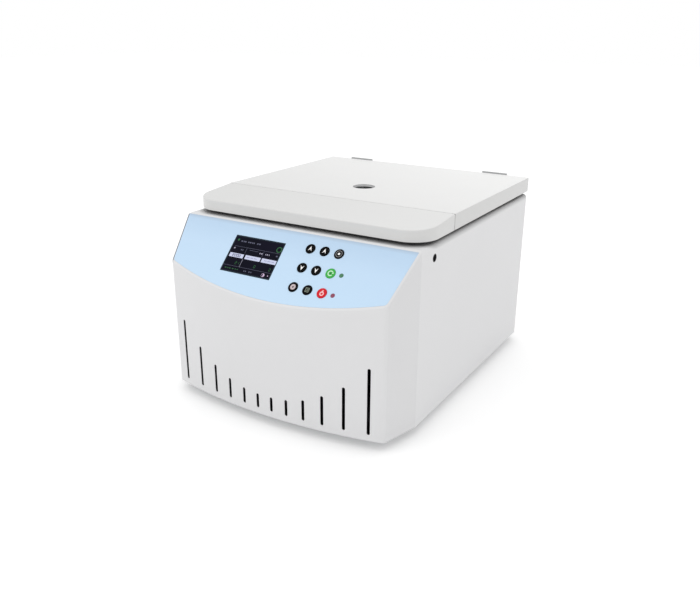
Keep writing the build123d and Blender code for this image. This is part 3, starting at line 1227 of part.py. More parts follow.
def latch_solenoid():
    y = (CROSSBAR_Y[1] + BOLT_TRAVEL + COIL_GAP, SPINDLE_Y - COIL_REAR)
    coil = block(span(PLUNGER_X, COIL_HALF), y, (BOLT_MID_Z - COIL_DROP, LATCH_Z))
    coil = chamfer(coil.edges().filter_by(Axis.Y), COIL_CHAMFER)
    return coil - rod((PLUNGER_X, y[0] - CUT, BOLT_MID_Z), "y", PLUNGER_R + RUNNING_FIT, y[1] - y[0])


def lid_switch():
    width, depth, height = SWITCH_BODY
    x = HOOK_WIDTH / 2 + SWITCH_SIDE
    start_y = HOOK_Y - SWITCH_AHEAD
    body = block((x, x + width), (start_y, start_y + depth), (LATCH_Z - height, LATCH_Z))
    tip, lever_y, foot = x - LEVER_REACH, (HOOK_Y, HOOK_Y + LEVER_WIDTH), LATCH_Z - LEVER_LOW
    lever = block((tip, x + BITE), lever_y, (foot, foot + LEVER_SHEET))
    return body + lever + block((tip, tip + LEVER_SHEET), lever_y, (foot, LATCH_Z - LEVER_HIGH))


def pinion_outline():
    half = rack_half_thickness()
    tip_r, root_r = PITCH_R + ADDENDUM * GEAR_MODULE, PITCH_R - DEDENDUM * GEAR_MODULE
    corners = ((root_r, half * 1.25), (tip_r, half / 2), (tip_r, -half / 2), (root_r, -half * 1.25))
    points = []
    for tooth in range(PINION_TEETH):
        middle = math.radians(90 + (tooth + 0.5) * 360 / PINION_TEETH)
        for radius, reach in corners:
            angle = middle - reach / radius
            points.append((SPINDLE_Y + radius * math.cos(angle), SPINDLE_Z + radius * math.sin(angle)))
    return outline(*points)


def release_spindle():
    start, end = RACK_X - SPINDLE_TAIL, HALF - WALL - SPINDLE_SHORT
    spindle = rod((start, SPINDLE_Y, SPINDLE_Z), "x", SPINDLE_R, end - start)
    spindle += side_profile(pinion_outline(), *span(RACK_X, RACK_WIDTH / 2 - CUT))
    across_corners = SPINDLE_FLAT / math.sqrt(3)
    socket = Plane.YZ.offset(end + CUT) * Pos(SPINDLE_Y, SPINDLE_Z) * RegularPolygon(across_corners, 6)
    return spindle - extrude(socket, amount=-SPINDLE_SOCKET - CUT)


def release_bush():
    bore, plug, flange = SPINDLE_R + RUNNING_FIT, RELEASE_HOLE_R - FIT, RELEASE_HOLE_R + BUSH_WALL
    face = outline((bore, -BUSH_LENGTH), (flange, -BUSH_LENGTH), (flange, 0), (plug, 0), (plug, WALL),
                   (RELEASE_HOLE_R - BUSH_MOUTH, WALL), (SPINDLE_R + BUSH_MOUTH, -BUSH_MOUTH),
                   (bore, -2 * BUSH_MOUTH))
    return Pos(HALF - WALL, SPINDLE_Y, SPINDLE_Z) * Rot(0, 90, 0) * turned(face)


# ---------------------------------------------------------------- rear panel and electrics
def fan_frame():
    body = extrude(RectangleRounded(FAN_SIZE, FAN_SIZE, FAN_CORNER_R), amount=-FAN_DEPTH)
    body -= Cylinder(FAN_BORE_R, 3 * FAN_DEPTH)
    waist = Rectangle(FAN_SIZE + CUT, FAN_SIZE + CUT) - Circle(FAN_BORE_R + FAN_TUBE_WALL)
    body -= Pos(0, 0, -FAN_DEPTH + FAN_FLANGE) * extrude(waist, amount=FAN_DEPTH - 2 * FAN_FLANGE)
    strut_length = 2 * (FAN_BORE_R + BITE)
    struts = Box(strut_length, FAN_STRUT, FAN_STRUT_DEPTH) + Box(FAN_STRUT, strut_length, FAN_STRUT_DEPTH)
    struts += Cylinder(FAN_HUB_R, FAN_STRUT_DEPTH)
    body += Pos(0, 0, -FAN_DEPTH + FAN_STRUT_DEPTH / 2) * Rot(0, 0, 45) * struts
    body += rod((0, 0, -FAN_DEPTH), "z", FAN_AXLE_R, FAN_AXLE)
    for x in span(0, FAN_SCREW_PITCH / 2):
        for y in span(0, FAN_SCREW_PITCH / 2):
            body -= Pos(x, y, 0) * Cylinder(SCREW_R + FIT, 3 * FAN_DEPTH)
    return FAN_PLACE * body


def fan_impeller():
    low, high = -FAN_DEPTH + FAN_FLANGE, -FAN_REAR_GAP
    bore, skin = FAN_AXLE_R + RUNNING_FIT, high - FAN_HUB_SKIN
    hub = turned(outline((bore, low), (FAN_HUB_R, low), (FAN_HUB_R, high - FAN_HUB_CHAMFER),
                         (FAN_HUB_R - FAN_HUB_CHAMFER, high), (0, high), (0, skin), (bore, skin)))
    middle = (low + high) / 2
    swept = Cylinder(FAN_BORE_R - FAN_TIP_GAP, high - low - 2 * FAN_BLADE_MARGIN)
    swept -= Cylinder(FAN_HUB_R - BITE, FAN_DEPTH)
    blade = Pos(FAN_BORE_R / 2 + FAN_HUB_R / 3, 0, 0) * Rot(FAN_BLADE_ANGLE, 0, 0) * Box(
        FAN_BORE_R, FAN_BLADE, 2 * FAN_DEPTH)
    side = Pos(FAN_BORE_R / 2, 0, 0) * Box(FAN_BORE_R, FAN_BORE_R, FAN_DEPTH)
    blade = Pos(0, 0, middle) * (blade & side & swept)
    for index in range(FAN_BLADES):
        hub += Rot(0, 0, index * 360 / FAN_BLADES) * blade
    return FAN_PLACE * hub


def power_inlet():
    """Mains entry: one moulding with a C14 socket below and the well of the rocker switch above."""
    flange_face = RectangleRounded(INLET_WIDTH + 4 * SCREW_HEAD_R, INLET_TALL, INLET_CORNER_R)
    flange = extrude(flange_face, amount=INLET_FLANGE)
    for x in span(0, INLET_SCREW_X):
        flange -= Pos(x, 0, 0) * Cylinder(SCREW_R + FIT, 3 * WALL)
    slack = 2 * WALL + FREE
    body = extrude(Rectangle(INLET_WIDTH - slack, INLET_TALL - slack), amount=-INLET_DEPTH)
    module = flange + body
    half_w, half_h = SOCKET_WIDTH / 2, SOCKET_HEIGHT / 2
    socket = rounded(Rectangle(SOCKET_WIDTH, SOCKET_HEIGHT).face(), SOCKET_CORNER_R,
                     (-half_w, -half_h), (half_w, -half_h))
    floor = INLET_FLANGE - SOCKET_DEPTH
    module -= Pos(0, SOCKET_DOWN, floor) * extrude(socket, amount=SOCKET_DEPTH + CUT)
    for x, y in CONTACTS:
        contact = extrude(Rectangle(*CONTACT), amount=CONTACT_LENGTH + BITE / 2)
        module += Pos(x, SOCKET_DOWN + y, floor - BITE / 2) * contact
    well = Box(*ROCKER_WELL, ROCKER_WELL_DEPTH + FIT)
    module -= Pos(0, ROCKER_UP, INLET_FLANGE + FIT - (ROCKER_WELL_DEPTH + FIT) / 2) * well
    pin_half = ROCKER_WIDTH / 2 + ROCKER_PIN + FREE / 2
    module -= rod((-pin_half, ROCKER_UP, -ROCKER_SINK), "x", ROCKER_PIN_R + RUNNING_FIT, 2 * pin_half)
    return INLET_PLACE * module


def rocker_pivot():
    return (INLET_X, BACK_Y - ROCKER_SINK, INLET_Z + ROCKER_UP)


def power_rocker():
    face = Rot(0, 0, -90) * outline(*ROCKER_PROFILE)
    body = side_profile(face, *span(0, ROCKER_WIDTH / 2))
    pin_half = ROCKER_WIDTH / 2 + ROCKER_PIN
    body += rod((-pin_half, 0, 0), "x", ROCKER_PIN_R, 2 * pin_half)
    return Pos(*rocker_pivot()) * Rot(ROCKER_SWING / 2, 0, 0) * body


def driver_board():
    """Circuit board of the motor drive, laid out from its own middle on the base plate."""
    board = block(span(0, DRIVER_HALF[0]), span(0, DRIVER_HALF[1]), (DRIVER_LIFT, DRIVER_LIFT + BOARD))
    for x in span(0, DRIVER_POST[0]):
        for y in span(0, DRIVER_POST[1]):
            board += rod((x, y, 0), "z", DRIVER_POST_R, DRIVER_LIFT + BOARD / 2)
    up = DRIVER_LIFT + BOARD / 2
    start_x, start_y = SINK_START
    thickness, length, height = SINK_PLATE
    board += block((start_x, start_x + thickness), (start_y, start_y + length), (up, up + height))
    fin_x = start_x + thickness - BITE
    for index in range(SINK_FINS):
        fin_y = start_y + index * SINK_FIN_PITCH
        board += block((fin_x, fin_x + SINK_FIN[0]), (fin_y, fin_y + SINK_FIN[1]), (up, up + height))
    board += joined(rod((CAPACITOR_X, y, up), "z", CAPACITOR_R, CAPACITOR_HEIGHT) for y in CAPACITORS)
    coil_x, coil_y, coil_height = COIL_BLOCK
    board += block(coil_x, coil_y, (up, up + coil_height))
    return Pos(HALF - WALL - DRIVER_SETBACK, CHAMBER_Y, BASE_TOP_Z) * board


# ---------------------------------------------------------------- write every piece
PIECES = (
    main_housing, base_plate, rubber_feet, cabinet_screws,
    chamber_bowl, chamber_seal, guard_ring, motor_bridge, motor_dampers, motor_can, drive_shaft,
    rotor_body, rotor_nut,
    control_film, display_glass, display_module, key_board, status_leds,
    lid_rear_cover, lid_front_cap, lid_liner, lid_screws, window_ring, lid_window,
    hinge_lid_leaves, hinge_body_leaves, hinge_pins,
    lid_hook, latch_bolt, latch_frame, latch_solenoid, lid_switch, release_spindle, release_bush,
    fan_frame, fan_impeller, power_inlet, power_rocker, driver_board,
)


def main():
    os.makedirs("parts", exist_ok=True)
    for make in PIECES:
        save(make.__name__, make())
    cap = key()
    for name, (x, up) in zip(KEY_NAMES, KEY_PLACES):
        save(f"key_{name}", on_panel(x, up, cap))
    clip = slide_clip()
    slide, card, chamber = slide_stack()
    for index in range(CARRIERS):
        place = carrier_place(index)
        save(f"slide_clip_{index + 1}", place * clip)
        save(f"sample_chamber_{index + 1}", joined([place * slide, place * card, place * chamber]))


main()
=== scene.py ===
# %% [markdown]
# # A cytocentrifuge for the lab bench
# This machine spins cells out of small funnels onto microscope slides. The measured solids arrive as a fixed
# frame: every solid keeps its place, and this script gives it a finish or puts a finer piece in its stead.
# All lengths are metres; the front looks along -Y and the origin is on the bench under the middle.

# %% Load the fixed frame
import math

import bmesh
import bpy
from mathutils import Matrix, Vector


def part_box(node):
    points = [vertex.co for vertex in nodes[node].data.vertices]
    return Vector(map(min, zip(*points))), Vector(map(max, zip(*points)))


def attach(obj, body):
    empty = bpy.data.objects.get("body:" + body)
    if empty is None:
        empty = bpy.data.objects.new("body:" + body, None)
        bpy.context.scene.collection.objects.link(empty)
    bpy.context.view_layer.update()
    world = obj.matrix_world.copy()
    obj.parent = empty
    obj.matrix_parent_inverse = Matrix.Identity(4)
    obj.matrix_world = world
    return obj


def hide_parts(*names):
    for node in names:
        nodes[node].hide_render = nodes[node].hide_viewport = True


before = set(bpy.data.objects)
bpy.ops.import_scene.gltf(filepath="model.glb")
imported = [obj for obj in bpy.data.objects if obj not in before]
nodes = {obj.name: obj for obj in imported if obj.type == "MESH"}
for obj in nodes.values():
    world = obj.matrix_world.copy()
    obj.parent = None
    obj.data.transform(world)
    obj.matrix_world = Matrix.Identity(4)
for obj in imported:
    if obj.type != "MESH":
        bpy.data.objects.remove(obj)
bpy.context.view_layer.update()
MM = 0.001

# %% [markdown]
# ## Measuring the frame
# Most places can be read off the solids, so that nothing here repeats a size that already exists. The sloping
# panel has its own directions: across, up the slope and out of the surface. A key's or a pane's outer face is
# found as the set of corners that reach furthest out.

# %% Directions of the sloping panel and a way to find a face on it
PANEL_SLOPE = math.radians(45)
ACROSS = Vector((1, 0, 0))
UP_SLOPE = Vector((0, math.cos(PANEL_SLOPE), math.sin(PANEL_SLOPE)))
OUT = ACROSS.cross(UP_SLOPE)
SAME = 0.02 * MM


def outer_face(node):
    """Middle and half sizes (across, up the slope) of the face of a node that reaches furthest out."""
    corners = [vertex.co for vertex in nodes[node].data.vertices]
    reach = max(corner.dot(OUT) for corner in corners)
    rim = [corner for corner in corners if corner.dot(OUT) > reach - SAME]
    across = [corner.dot(ACROSS) for corner in rim]
    up = [corner.dot(UP_SLOPE) for corner in rim]
    middle = ACROSS * (max(across) + min(across)) / 2 + UP_SLOPE * (max(up) + min(up)) / 2 + OUT * reach
    return middle, (max(across) - min(across)) / 2, (max(up) - min(up)) / 2


def box_middle(node):
    low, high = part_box(node)
    return (low + high) / 2


SCREEN_MIDDLE, SCREEN_HALF_WIDTH, SCREEN_HALF_HEIGHT = outer_face("display_glass")
HOUSING_LOW, HOUSING_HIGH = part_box("main_housing")
ROTOR_AXIS = box_middle("drive_shaft")
print("screen half sizes in mm:", round(SCREEN_HALF_WIDTH / MM, 2), round(SCREEN_HALF_HEIGHT / MM, 2))

# %% [markdown]
# ## Colours
# Paint cards and screens give colours on the sRGB scale from 0 to 255, but a renderer adds up light, so each
# number has to become linear light. Tones are written as three sRGB numbers here, and they are turned into
# light where a socket takes them.


# %% From sRGB to linear light
def paint(red, green, blue):
    """A linear RGBA colour from three sRGB numbers of 0 to 255."""
    linear = []
    for level in (red / 255, green / 255, blue / 255):
        linear.append(level / 12.92 if level <= 0.04045 else ((level + 0.055) / 1.055) ** 2.4)
    return (*linear, 1.0)


def scaled(tone, share, extra=0.0):
    """The linear colour of a tone, made lighter or darker."""
    return (*(min(1.0, part * share + extra) for part in paint(*tone)[:3]), 1.0)


WHITE = (255, 255, 255)
BLACK = (0, 0, 0)
print("a warm white:", [round(part, 3) for part in paint(240, 238, 232)])

# %% [markdown]
# ## The camera
# A product is usually shown from a little above and to one side, so that the front, one flank and the lid all
# show. A 38 mm lens from well over a metre gives the mild perspective of a catalogue picture. The camera's
# backward vector is worked out from two angles, and the camera looks along its opposite.

# %% Camera from an azimuth and an elevation
CAMERA_PLACE = Vector((0.6377, -1.0695, 0.5832))
CAMERA_AZIMUTH = math.radians(31.229)
CAMERA_ELEVATION = math.radians(20.375)
CAMERA_ROLL = math.radians(0.347)
LENS = 37.98
SENSOR = 36.0


def linked(name, data):
    """A new object of this name in the scene."""
    made = bpy.data.objects.new(name, data)
    bpy.context.scene.collection.objects.link(made)
    return made


backward = Vector((
    math.sin(CAMERA_AZIMUTH) * math.cos(CAMERA_ELEVATION),
    -math.cos(CAMERA_AZIMUTH) * math.cos(CAMERA_ELEVATION),
    math.sin(CAMERA_ELEVATION),
))
camera = linked("camera", bpy.data.cameras.new("camera"))
camera.data.lens = LENS
camera.data.sensor_width = SENSOR
camera.data.clip_start, camera.data.clip_end = 0.05, 60.0
camera.location = CAMERA_PLACE
turn = (-backward).to_track_quat("-Z", "Y").to_matrix().to_4x4() @ Matrix.Rotation(CAMERA_ROLL, 4, "Z")
camera.rotation_euler = turn.to_euler()
bpy.context.scene.camera = camera
bpy.context.scene.view_settings.view_transform = "Standard"
print("camera stands", round((CAMERA_PLACE - ROTOR_AXIS).length, 3), "m from the rotor axis")

# %% [markdown]
# ## Shader maths in plain Python
# A material is a graph of small nodes. Two classes keep it readable. A `Wire` wraps one socket, and adding or
# multiplying wires lays down Math nodes. A `Finish` is one material with its main shader, and its `node`
# method makes any other node: the type, then what its sockets receive, which output to go on with, and its
# settings.


# %% One wire: a socket with arithmetic
def arithmetic(operation, swapped=False):
    """A method that lays down one Math node for a wire and whatever it is combined with."""
    def lay_down(wire, *others):
        values = (wire, *others)
        inputs = dict(enumerate(values[::-1] if swapped else values))
        return wire.finish.node("ShaderNodeMath", inputs, operation=operation)
    return lay_down


class Wire:
    def __init__(self, finish, socket):
        self.finish = finish
        self.socket = socket

    __add__, __mul__, __truediv__, __pow__ = map(arithmetic, ("ADD", "MULTIPLY", "DIVIDE", "POWER"))
    __sub__, __rsub__ = arithmetic("SUBTRACT"), arithmetic("SUBTRACT", swapped=True)
    __abs__, sine = arithmetic("ABSOLUTE"), arithmetic("SINE")
    least, most, above = map(arithmetic, ("MINIMUM", "MAXIMUM", "GREATER_THAN"))


# %% One finish: a material and the nodes in it
BEVEL_SAMPLES = 4


class Finish:
    """A material with a Principled shader. Keywords set that shader's own sockets, underscores for spaces."""

    def __init__(self, name, **constants):
        self.material = bpy.data.materials.new(name)
        self.material.use_nodes = True
        self.tree = self.material.node_tree
        self.shader = self.tree.nodes["Principled BSDF"]
        for word, value in constants.items():
            self.shader.inputs[word.replace("_", " ")].default_value = value

    def node(self, kind, inputs=None, output=0, **settings):
        """A new node. inputs maps a socket's name, identifier or number to a value or a Wire."""
        made = self.tree.nodes.new(kind)
        for word, value in settings.items():
            setattr(made, word, value)
        for key, value in (inputs or {}).items():
            self._feed(self._socket(made.inputs, key), value)
        return Wire(self, self._socket(made.outputs, output))

    @staticmethod
    def _socket(sockets, key):
        if isinstance(key, int):
            return sockets[key]
        return next(socket for socket in sockets if key in (socket.identifier, socket.name))

    def _feed(self, socket, value):
        if isinstance(value, Wire):
            self.tree.links.new(value.socket, socket)
        elif socket.type == "RGBA" and len(value) == 3:
            socket.default_value = paint(*value)
        else:
            socket.default_value = value

    def set(self, socket, value):
        """Feed one socket of the main shader."""
        self._feed(self.shader.inputs[socket], value)

    def surface(self, colour, roughness, height, depth, strength, normal=None):
        """Colour, roughness and a fine relief for the main shader. The colour is kept as coat."""
        self.coat = colour
        self.set("Base Color", colour)
        self.set("Roughness", roughness)
        relief = {"Height": height, "Distance": depth, "Strength": strength}
        if normal is not None:
            relief["Normal"] = normal
        self.set("Normal", self.node("ShaderNodeBump", relief))
        return self

    def place(self):
        """The point on the object, in metres, in the frame that all pieces share."""
        return self.node("ShaderNodeTexCoord", output="Object")

    def xyz(self, kind="Object"):
        """The x, y and z wires of that point or, for the kind "Normal", of where the surface looks."""
        vector = self.node("ShaderNodeTexCoord", output=kind)
        split = self.node("ShaderNodeSeparateXYZ", {"Vector": vector})
        return [Wire(self, output) for output in split.socket.node.outputs]

    @staticmethod
    def up_slope(y, z):
        """How far up the sloping panel a point is."""
        return y * UP_SLOPE.y + z * UP_SLOPE.z

    @staticmethod
    def length(across, along):
        """The length of the vector with these two parts."""
        return (across * across + along * along) ** 0.5

    def stretched(self, scale):
        """The object's own points, stretched by three factors."""
        return self.node("ShaderNodeMapping", {"Vector": self.place(), "Scale": scale})

    def noise(self, scale, detail=2.0, roughness=0.5, vector=None):
        """A noise with so many grains in a metre, or on other points than the object's own where given."""
        vector = self.place() if vector is None else vector
        inputs = {"Vector": vector, "Scale": scale, "Detail": detail, "Roughness": roughness}
        return self.node("ShaderNodeTexNoise", inputs, "Fac")

    def tint(self, factor, first, second):
        """Mix of two colours by a number."""
        inputs = {"Factor_Float": factor, "A_Color": first, "B_Color": second}
        return self.node("ShaderNodeMix", inputs, "Result_Color", data_type="RGBA", clamp_factor=True)

    def mottled(self, scale, first, second):
        """Two close tones in clouds of so many to a metre."""
        return self.tint(self.noise(scale), first, second)

    def soft_edges(self, radius):
        """A normal that rounds sharp corners a little, as moulding, painting or deburring does."""
        return self.node("ShaderNodeBevel", {"Radius": radius}, "Normal", samples=BEVEL_SAMPLES)

    def worn_edges(self, normal, strength):
        """A number that rises on corners: how far the rounded normal leans off the true one."""
        true_normal = self.node("ShaderNodeNewGeometry", output="Normal")
        inputs = {0: normal, 1: true_normal}
        agreement = self.node("ShaderNodeVectorMath", inputs, "Value", operation="DOT_PRODUCT")
        return ((1 - agreement) * strength).least(1.0)


print("shader helpers ready")

# %% [markdown]
# ## Light and floor
# Light-coloured instruments look right in a room full of soft light. The world gives most of it, evenly, and
# two large lamps add a little direction: one high at the front left and one above the rear. The floor is pale
# and wide. What the camera, mirrors and glass see of the world is plain white.

# %% World
SKY_LEVEL = 0.99
sky = bpy.data.worlds.new("soft_room")
bpy.context.scene.world = sky
sky.use_nodes = True
sky_nodes, sky_links = sky.node_tree.nodes, sky.node_tree.links
sky_nodes["Background"].inputs["Color"].default_value = paint(*WHITE)
rays = sky_nodes.new("ShaderNodeLightPath")
seen = rays.outputs["Is Camera Ray"]
for ray in ("Is Glossy Ray", "Is Transmission Ray"):
    either = sky_nodes.new("ShaderNodeMath")
    either.operation = "MAXIMUM"
    sky_links.new(seen, either.inputs[0])
    sky_links.new(rays.outputs[ray], either.inputs[1])
    seen = either.outputs[0]
level = sky_nodes.new("ShaderNodeMapRange")
level.inputs["To Min"].default_value = SKY_LEVEL
level.inputs["To Max"].default_value = 1.0
sky_links.new(seen, level.inputs["Value"])
sky_links.new(level.outputs["Result"], sky_nodes["Background"].inputs["Strength"])
print("world level for soft light:", SKY_LEVEL)

# %% Lamps
AIM = Vector((0, 0, 0.15))


def soft_lamp(name, place, size, watts):
    """A square lamp that the camera doesn't see, aimed at the instrument's middle."""
    lamp = bpy.data.lights.new(name, "AREA")
    lamp.shape = "SQUARE"
    lamp.size = size
    lamp.energy = watts
    holder = linked(name, lamp)
    holder.location = place
    holder.rotation_euler = (AIM - Vector(place)).to_track_quat("-Z", "Y").to_euler()
    holder.visible_camera = False


soft_lamp("lamp_front_left", (-1.6, -2.2, 2.0), 1.6, 7.0)
soft_lamp("lamp_above", (0.1, 0.9, 2.6), 2.0, 2.5)

# %% Floor
FLOOR_HALF = 12.0
FLOOR_LIFT = 0.22  # share of plain white that the camera sees besides the lit floor


def mesh_of(shape, name):
    """Turn a bmesh into a mesh and free it."""
    data = bpy.data.meshes.new(name)
    shape.to_mesh(data)
    shape.free()
    return data


floor_mesh = bmesh.new()
bmesh.ops.create_grid(floor_mesh, x_segments=4, y_segments=4, size=FLOOR_HALF)
floor = linked("floor", mesh_of(floor_mesh, "floor"))
floor_finish = Finish("floor_white", Roughness=1.0, Specular_IOR_Level=0.0, Emission_Strength=1.0)
floor_finish.set("Base Color", floor_finish.mottled(3.0, (238, 238, 238), (243, 243, 243)))
direct, mirrored, through = (floor_finish.node("ShaderNodeLightPath", output=f"Is {kind} Ray")
                             for kind in ("Camera", "Glossy", "Transmission"))
lift = direct.most(mirrored).most(through) * FLOOR_LIFT
floor_finish.set("Emission Color", floor_finish.tint(lift, BLACK, WHITE))
floor.data.materials.append(floor_finish.material)
print("floor is", 2 * FLOOR_HALF, "m wide")

# %% [markdown]
# ## Satin shells
# The cabinet is a moulded shell and the lid a coated steel sheet with a moulded cap. All three have the same
# kind of surface: nearly white, satin, with a grain much finer than a millimetre that breaks up reflections.
# The grain is a noise fed to a Bump. A slow second noise shifts colour and roughness a little, as handling
# does, and corners are a trace lighter where the coat is thin. The lid's edge strips carry a painted shade a
# tone darker than its top, the lid's coat has a painted shade that darkens it towards one corner, and the
# cabinet's deck, which the lid covers, carries a painted shadow that makes it greyer than its walls.

# %% A satin shell
CLOUD_SCALE = 7.0
SMUDGE_SCALE = 28.0
SATIN_CORNER = 0.5 * MM
SKIRT_LEAN = 0.7  # faces whose normals rise more than this count as tops
SEAM_Y = (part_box("lid_front_cap")[1].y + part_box("lid_rear_cover")[0].y) / 2
SEAM_REACH = 1.2 * MM
SEAM_FROM_X = HOUSING_HIGH.x - 6.0 * MM
# painted shade for the faces inside the lid's seam
SEAM_SHADE = (84, 84, 83)
LID_MIDDLE_Y = 50.0 * MM


def satin_shell(name, colour, shade, roughness, grain, grain_depth, shaded_skirt=None, corner_shade=None, **constants):
    """A pale satin coat. shade is its slightly darker tone and grain the number of grains in a metre. Where
    given, shaded_skirt is a painted shade: the tone of the faces that look sideways; and corner_shade is a
    painted shade: the tone that the coat darkens to towards one corner, with how fast it does so to the left
    and to the front, per metre."""
    finish = Finish(name, IOR=1.46, **constants)
    x, y, _ = finish.xyz()
    corners = finish.soft_edges(SATIN_CORNER)
    coat = finish.tint(finish.noise(CLOUD_SCALE, 3.0), shade, colour)
    if corner_shade is not None:
        # painted shade: the coat darkens towards one corner, as the light falls off across the lid
        shaded_tone, leftwards, forwards = corner_shade
        coat = finish.tint(0.5 - x * leftwards - (y - LID_MIDDLE_Y) * forwards, coat, shaded_tone)
    if shaded_skirt is not None:
        # painted shade: faces that look sideways take the darker skirt tone
        lean = finish.xyz("Normal")
        coat = finish.tint(abs(lean[2]).above(SKIRT_LEAN), shaded_skirt, coat)
        # painted shade on the faces inside the seam between the cap and the cover, on the lid's sides
        shaded_seam = (SEAM_REACH - abs(y - SEAM_Y)).least(abs(x) - SEAM_FROM_X).above(0.0)
        coat = finish.tint(abs(lean[1]).above(SKIRT_LEAN) * shaded_seam, coat, SEAM_SHADE)
    coat = finish.tint(finish.worn_edges(corners, 0.5) * 0.4, coat, WHITE)
    smudges = finish.noise(SMUDGE_SCALE, 4.0, 0.6) * 0.10 + (roughness - 0.05)
    return finish.surface(coat, smudges, finish.noise(grain), grain_depth, 0.6, corners)


print("the lid's seam is at y =", round(SEAM_Y / MM, 2), "mm")

# %% Painted shade inside the cabinet and a painted shadow on its deck
PANEL_EDGE_Y = HOUSING_HIGH.y - 444.5 * MM  # where the flat sides end and the slope starts
FRONT_CORNER_X = HOUSING_HIGH.x - 17.3 * MM
FRONT_CORNER_Y = PANEL_EDGE_Y - 66.0 * MM
# slot walls deeper than this behind the outer face get the painted shade
SLOT_SHADE_DEPTH = 0.6 * MM
DEEPEST_CORNER = 3.1 * MM  # a rounded corner's surface is never this far inside the flat faces
SLOT_ZONE_INSET = 32.0 * MM
SLOT_ZONE_TOP = 0.135
LID_FRONT_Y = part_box("lid_front_cap")[0].y
LID_CORNER_R = 42.0 * MM
DECK_FADE_AHEAD = 10.0 * MM  # past the lid's outline
DECK_FADE_DOWN = 9.23 * MM  # below the deck
DECK_SHADE = 0.64  # how far the painted shadow on the deck goes towards dark grey
FACET_LOOK = 0.9  # faces whose normals reach further sideways than this are facets or sides
# how far the facets go towards dark, a painted shade
FACET_SHADE = 0.03
# width of the painted shade along the panel's left end
LEFT_EDGE_SHADE = 2.6 * MM


def cabinet_coat():
    """The cabinet's coat outside, with painted shade: near black on everything behind its outer face and on
    the slot walls, a painted shadow of the lid on the deck, darker facets and a dark line at the panel's left
    end.
    """
    finish = satin_shell("cabinet_satin", (224, 224, 225), (220, 220, 221), 0.42, 1500.0, 0.03 * MM)
    x, y, z = finish.xyz()
    half_width = HOUSING_HIGH.x
    # the curved front is an arc through the two facet corners and the foremost point
    rise = FRONT_CORNER_Y - HOUSING_LOW.y
    radius = (FRONT_CORNER_X ** 2 + rise ** 2) / (2 * rise)
    centre_y = HOUSING_LOW.y + radius
    behind_front = radius - finish.length(x, y - centre_y)
    behind_panel = (y - PANEL_EDGE_Y) * math.sin(PANEL_SLOPE) - (z - HOUSING_HIGH.z) * math.cos(PANEL_SLOPE)
    facet_run = Vector((half_width - FRONT_CORNER_X, FRONT_CORNER_Y - PANEL_EDGE_Y, 0)).length
    facet_lean = (half_width - FRONT_CORNER_X) / facet_run
    facet_along = (PANEL_EDGE_Y - FRONT_CORNER_Y) / facet_run
    behind_facet = (half_width - abs(x)) * facet_along + (y - PANEL_EDGE_Y) * facet_lean
    behind_side = half_width - abs(x)
    behind_rear = HOUSING_HIGH.y - y
    depth = behind_front.least(behind_panel).least(behind_side).least(behind_facet)
    shaded_inside = depth.least(behind_rear).least(HOUSING_HIGH.z - z).above(DEEPEST_CORNER)
    # painted shade on the walls of the slots, well away from the rounded corners
    slot_zone = behind_side.above(SLOT_ZONE_INSET) * (1 - z.above(SLOT_ZONE_TOP))
    in_front = slot_zone * (1 - y.above(PANEL_EDGE_Y)) * behind_front.above(SLOT_SHADE_DEPTH)
    at_rear = slot_zone * y.above(ROTOR_AXIS.y) * behind_rear.above(SLOT_SHADE_DEPTH)
    shaded_inside = shaded_inside.most(in_front).most(at_rear)
    # painted shadow of the lid: the deck under the lid is greyer, and this fades out round the lid's outline
    # and over the rounded rim
    past_corner_x = (abs(x) - (half_width - LID_CORNER_R)).most(0.0)
    past_corner_y = (LID_FRONT_Y + LID_CORNER_R - y).most(0.0)
    ahead = (finish.length(past_corner_x, past_corner_y) - LID_CORNER_R).most(0.0)
    under_lid_shade = (1 - ahead / DECK_FADE_AHEAD - (HOUSING_HIGH.z - z) / DECK_FADE_DOWN).most(0.0)
    coat = finish.tint(under_lid_shade * DECK_SHADE, finish.coat, (70, 68, 66))
    # painted shade: the facets are a trace darker, and the left end of the panel has a dark edge line
    sideways = abs(finish.xyz("Normal")[0])
    shaded_facet = sideways.above(FACET_LOOK) * (1 - y.above(PANEL_EDGE_Y))
    coat = finish.tint(shaded_facet * FACET_SHADE, coat, (40, 40, 40))
    # painted shade along the panel's left end, which turns away from the light
    left_edge_shade = (LEFT_EDGE_SHADE - behind_facet).least(LEFT_EDGE_SHADE - behind_panel).least(0 - x).above(0.0)
    coat = finish.tint(left_edge_shade, coat, (90, 98, 110))
    # painted shade: everything behind the outer face, and the slot walls, goes near black
    finish.set("Base Color", finish.tint(shaded_inside, coat, (26, 26, 28)))
    return finish


print("the deck's grey fades out within", round(DECK_FADE_AHEAD / MM, 2), "mm of the lid")

# %% The satin finishes
# depth of the painted shade on the ring's upper rim
RING_RIM_SHADE_DEPTH = 0.3 * MM
# height of the painted shade at the foot of the ring's bore
BORE_SHADE_HEIGHT = 1.0 * MM
CABINET = cabinet_coat()
# the lid's sideways tones and corner tones below are painted shade
LID_SHEET = satin_shell(
    "lid_powder_coat", (237, 237, 236), (233, 233, 232), 0.32, 1100.0, 0.04 * MM,
    shaded_skirt=(203, 203, 202), corner_shade=((208, 208, 207), 0.93, 1.36),
    Coat_Weight=0.35, Coat_Roughness=0.25)
LID_CAP = satin_shell(
    "lid_cap_satin", (223, 223, 222), (219, 219, 218), 0.38, 1700.0, 0.03 * MM,
    shaded_skirt=(213, 213, 212), corner_shade=((212, 212, 211), 2.33, 0.0))
WINDOW_RING = satin_shell(
    "window_ring_pale", (232, 233, 233), (226, 227, 227), 0.34, 2200.0, 0.02 * MM)
